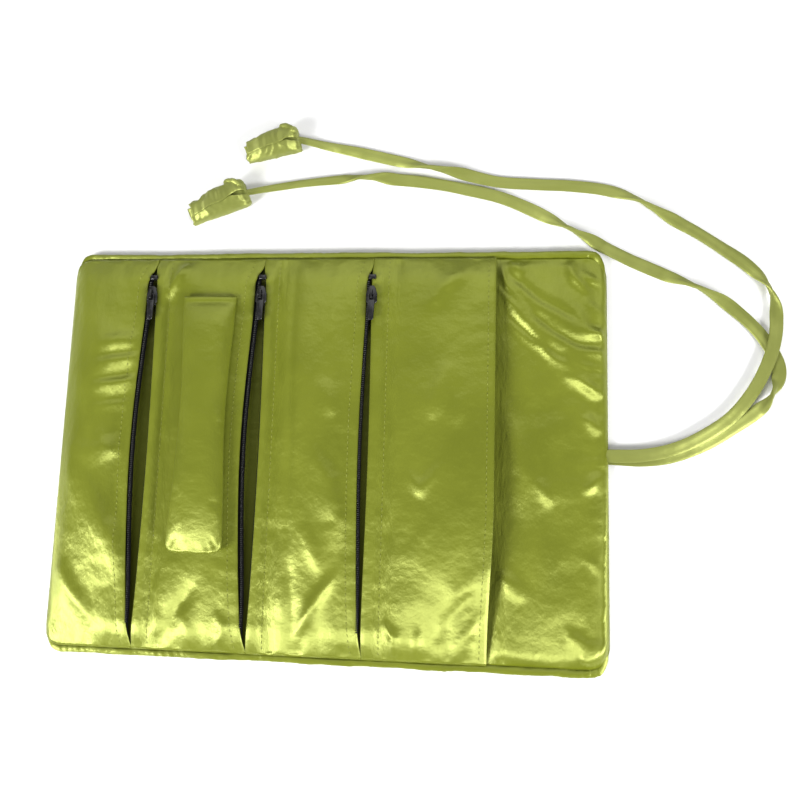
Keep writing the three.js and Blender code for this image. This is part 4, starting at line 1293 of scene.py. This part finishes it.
# %% Snap
# Profiles in mm: distance from the axis, and height.
RING_PROFILE = [(2.2, 9.1), (2.3, 9.0), (3.7, 9.0), (4.0, 9.2), (4.0, 9.7), (3.6, 10.2), (3.0, 10.3), (2.5, 10.2),
                (2.2, 9.9), (2.2, 9.1)]
BUTTON_PROFILE = [(0, 9.3), (1.3, 9.3), (1.6, 9.6), (1.45, 10.5), (3.6, 10.5), (4.0, 10.7), (4.0, 11.0), (3.7, 11.2),
                  (0, 11.2)]


def turned(name, profile):
    """Half a profile, spun round the snap's axis."""
    bm = bmesh.new()
    verts = [bm.verts.new((BAR_X * MM + r * MM, SNAP_Y * MM, z * MM)) for r, z in profile]
    edges = [bm.edges.new(pair) for pair in zip(verts, verts[1:])]
    bmesh.ops.spin(bm, geom=verts + edges, cent=(BAR_X * MM, SNAP_Y * MM, 0), axis=(0, 0, 1), angle=2 * math.pi,
                   steps=40, use_merge=True)
    bmesh.ops.remove_doubles(bm, verts=bm.verts, dist=TOUCHING)
    bmesh.ops.recalc_face_normals(bm, faces=bm.faces)
    return piece(bm, name, nickel)


socket, stud = turned("snap_ring", RING_PROFILE), turned("snap_button", BUTTON_PROFILE)
for part, node, body in ((socket, "snap_socket", "panel_2"), (stud, "snap_stud", "ring_bar")):
    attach(part, body)
    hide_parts(node)
print("snap", socket.name, stud.name)

# %% [markdown]
# Stitches make a sewn thing look sewn. Each is a small stretched ball of thread, half sunk into the cloth. They are
# dropped onto the finished cloth from above, so they sit on it wherever its creases lie.

# %% Stitches
SEAM_YS = np.linspace(-94, 94, 40)
STITCH, SLIP_HEM_STITCH = 2.6, 3.2


def stitch_row(name, cloth, xs):
    """A row of stitches on a cloth; xs is its place in mm at each of SEAM_YS."""
    tree = BVHTree.FromObject(cloth, bpy.context.evaluated_depsgraph_get())
    line, _ = smooth_line(np.stack([xs, SEAM_YS, 0 * SEAM_YS], axis=1), STITCH)
    bm = bmesh.new()
    for a, b in zip(line, line[1:]):
        x, y, _ = (a + b) / 2 * MM
        hit, normal, _, _ = tree.ray_cast(Vector((x, y, 0.05)), Vector((0, 0, -1)))
        if hit is None:
            continue
        along = Vector(b - a).normalized()
        side = normal.cross(along).normalized()
        turn = Matrix((along, side, side.cross(along) * -1)).transposed().to_4x4()
        ball(bm, Matrix.Translation(hit + normal * 0.05 * MM) @ turn, (STITCH * 0.4, 0.17, 0.15))
    return piece(bm, name, thread)


bpy.context.view_layer.update()
for k, front in enumerate(fronts):
    hem = front_edge(k, SEAM_YS / SEAM_REACH) - (HEM_STITCH if k < 3 else SLIP_HEM_STITCH)
    row = stitch_row(f"hem_stitches_{k + 1}", front, hem)
    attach(row, f"panel_{k + 1}")
    if k:
        seam = stitch_row(f"fold_stitches_{k}", front, FOLDS[k - 1] + 0 * SEAM_YS)
        bend_at(seam)
print("stitch rows done")

# %% [markdown]
# The studio: a pale floor, two soft lamps at the near side, left and right, where the bright sides of the
# creases put them, a large weak lamp at the far side, and an even fill from all round. The plain view transform
# keeps the strong photo contrast.

# %% Floor and light
FLOOR_Z, FLOOR_HALF = -0.4, 3

bm = bmesh.new()
bmesh.ops.create_grid(bm, x_segments=4, y_segments=4, size=FLOOR_HALF)
bmesh.ops.translate(bm, vec=(0, 0, FLOOR_Z * MM), verts=bm.verts)
floor = piece(bm, "floor", pale_floor)
floor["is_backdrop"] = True


def soft_lamp(name, place, aim, size, watts):
    """A square lamp at a place, turned to the point that it lights."""
    lamp_data = bpy.data.lights.new(name, "AREA")
    lamp_data.shape = "SQUARE"
    lamp_data.size = size
    lamp_data.energy = watts
    lamp = show(name, lamp_data)
    lamp.location = place
    lamp.rotation_euler = (Vector(place) - Vector(aim)).to_track_quat("Z", "Y").to_euler()


soft_lamp("near_left_lamp", (-0.75, -0.52, 0.62), (0, 0, 0), 0.42, 16.5)
soft_lamp("near_right_lamp", (0.9, -0.58, 0.61), (0.05, 0, 0), 0.42, 18.0)
soft_lamp("far_fill_lamp", (0.08, 0.85, 0.85), (0.05, 0.2, 0), 1.0, 5.0)
world = bpy.data.worlds.new("studio_fill")
world.use_nodes = True
feed(world.node_tree, world.node_tree.nodes["Background"], {"Color": (1, 1, 1, 1), "Strength": 0.24})
bpy.context.scene.world = world
bpy.context.scene.view_settings.view_transform = "Standard"
print("lamps set")

# %% Finish
low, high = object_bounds()
print("visual box in mm", [round(v / MM, 1) for v in (*low, *high)])
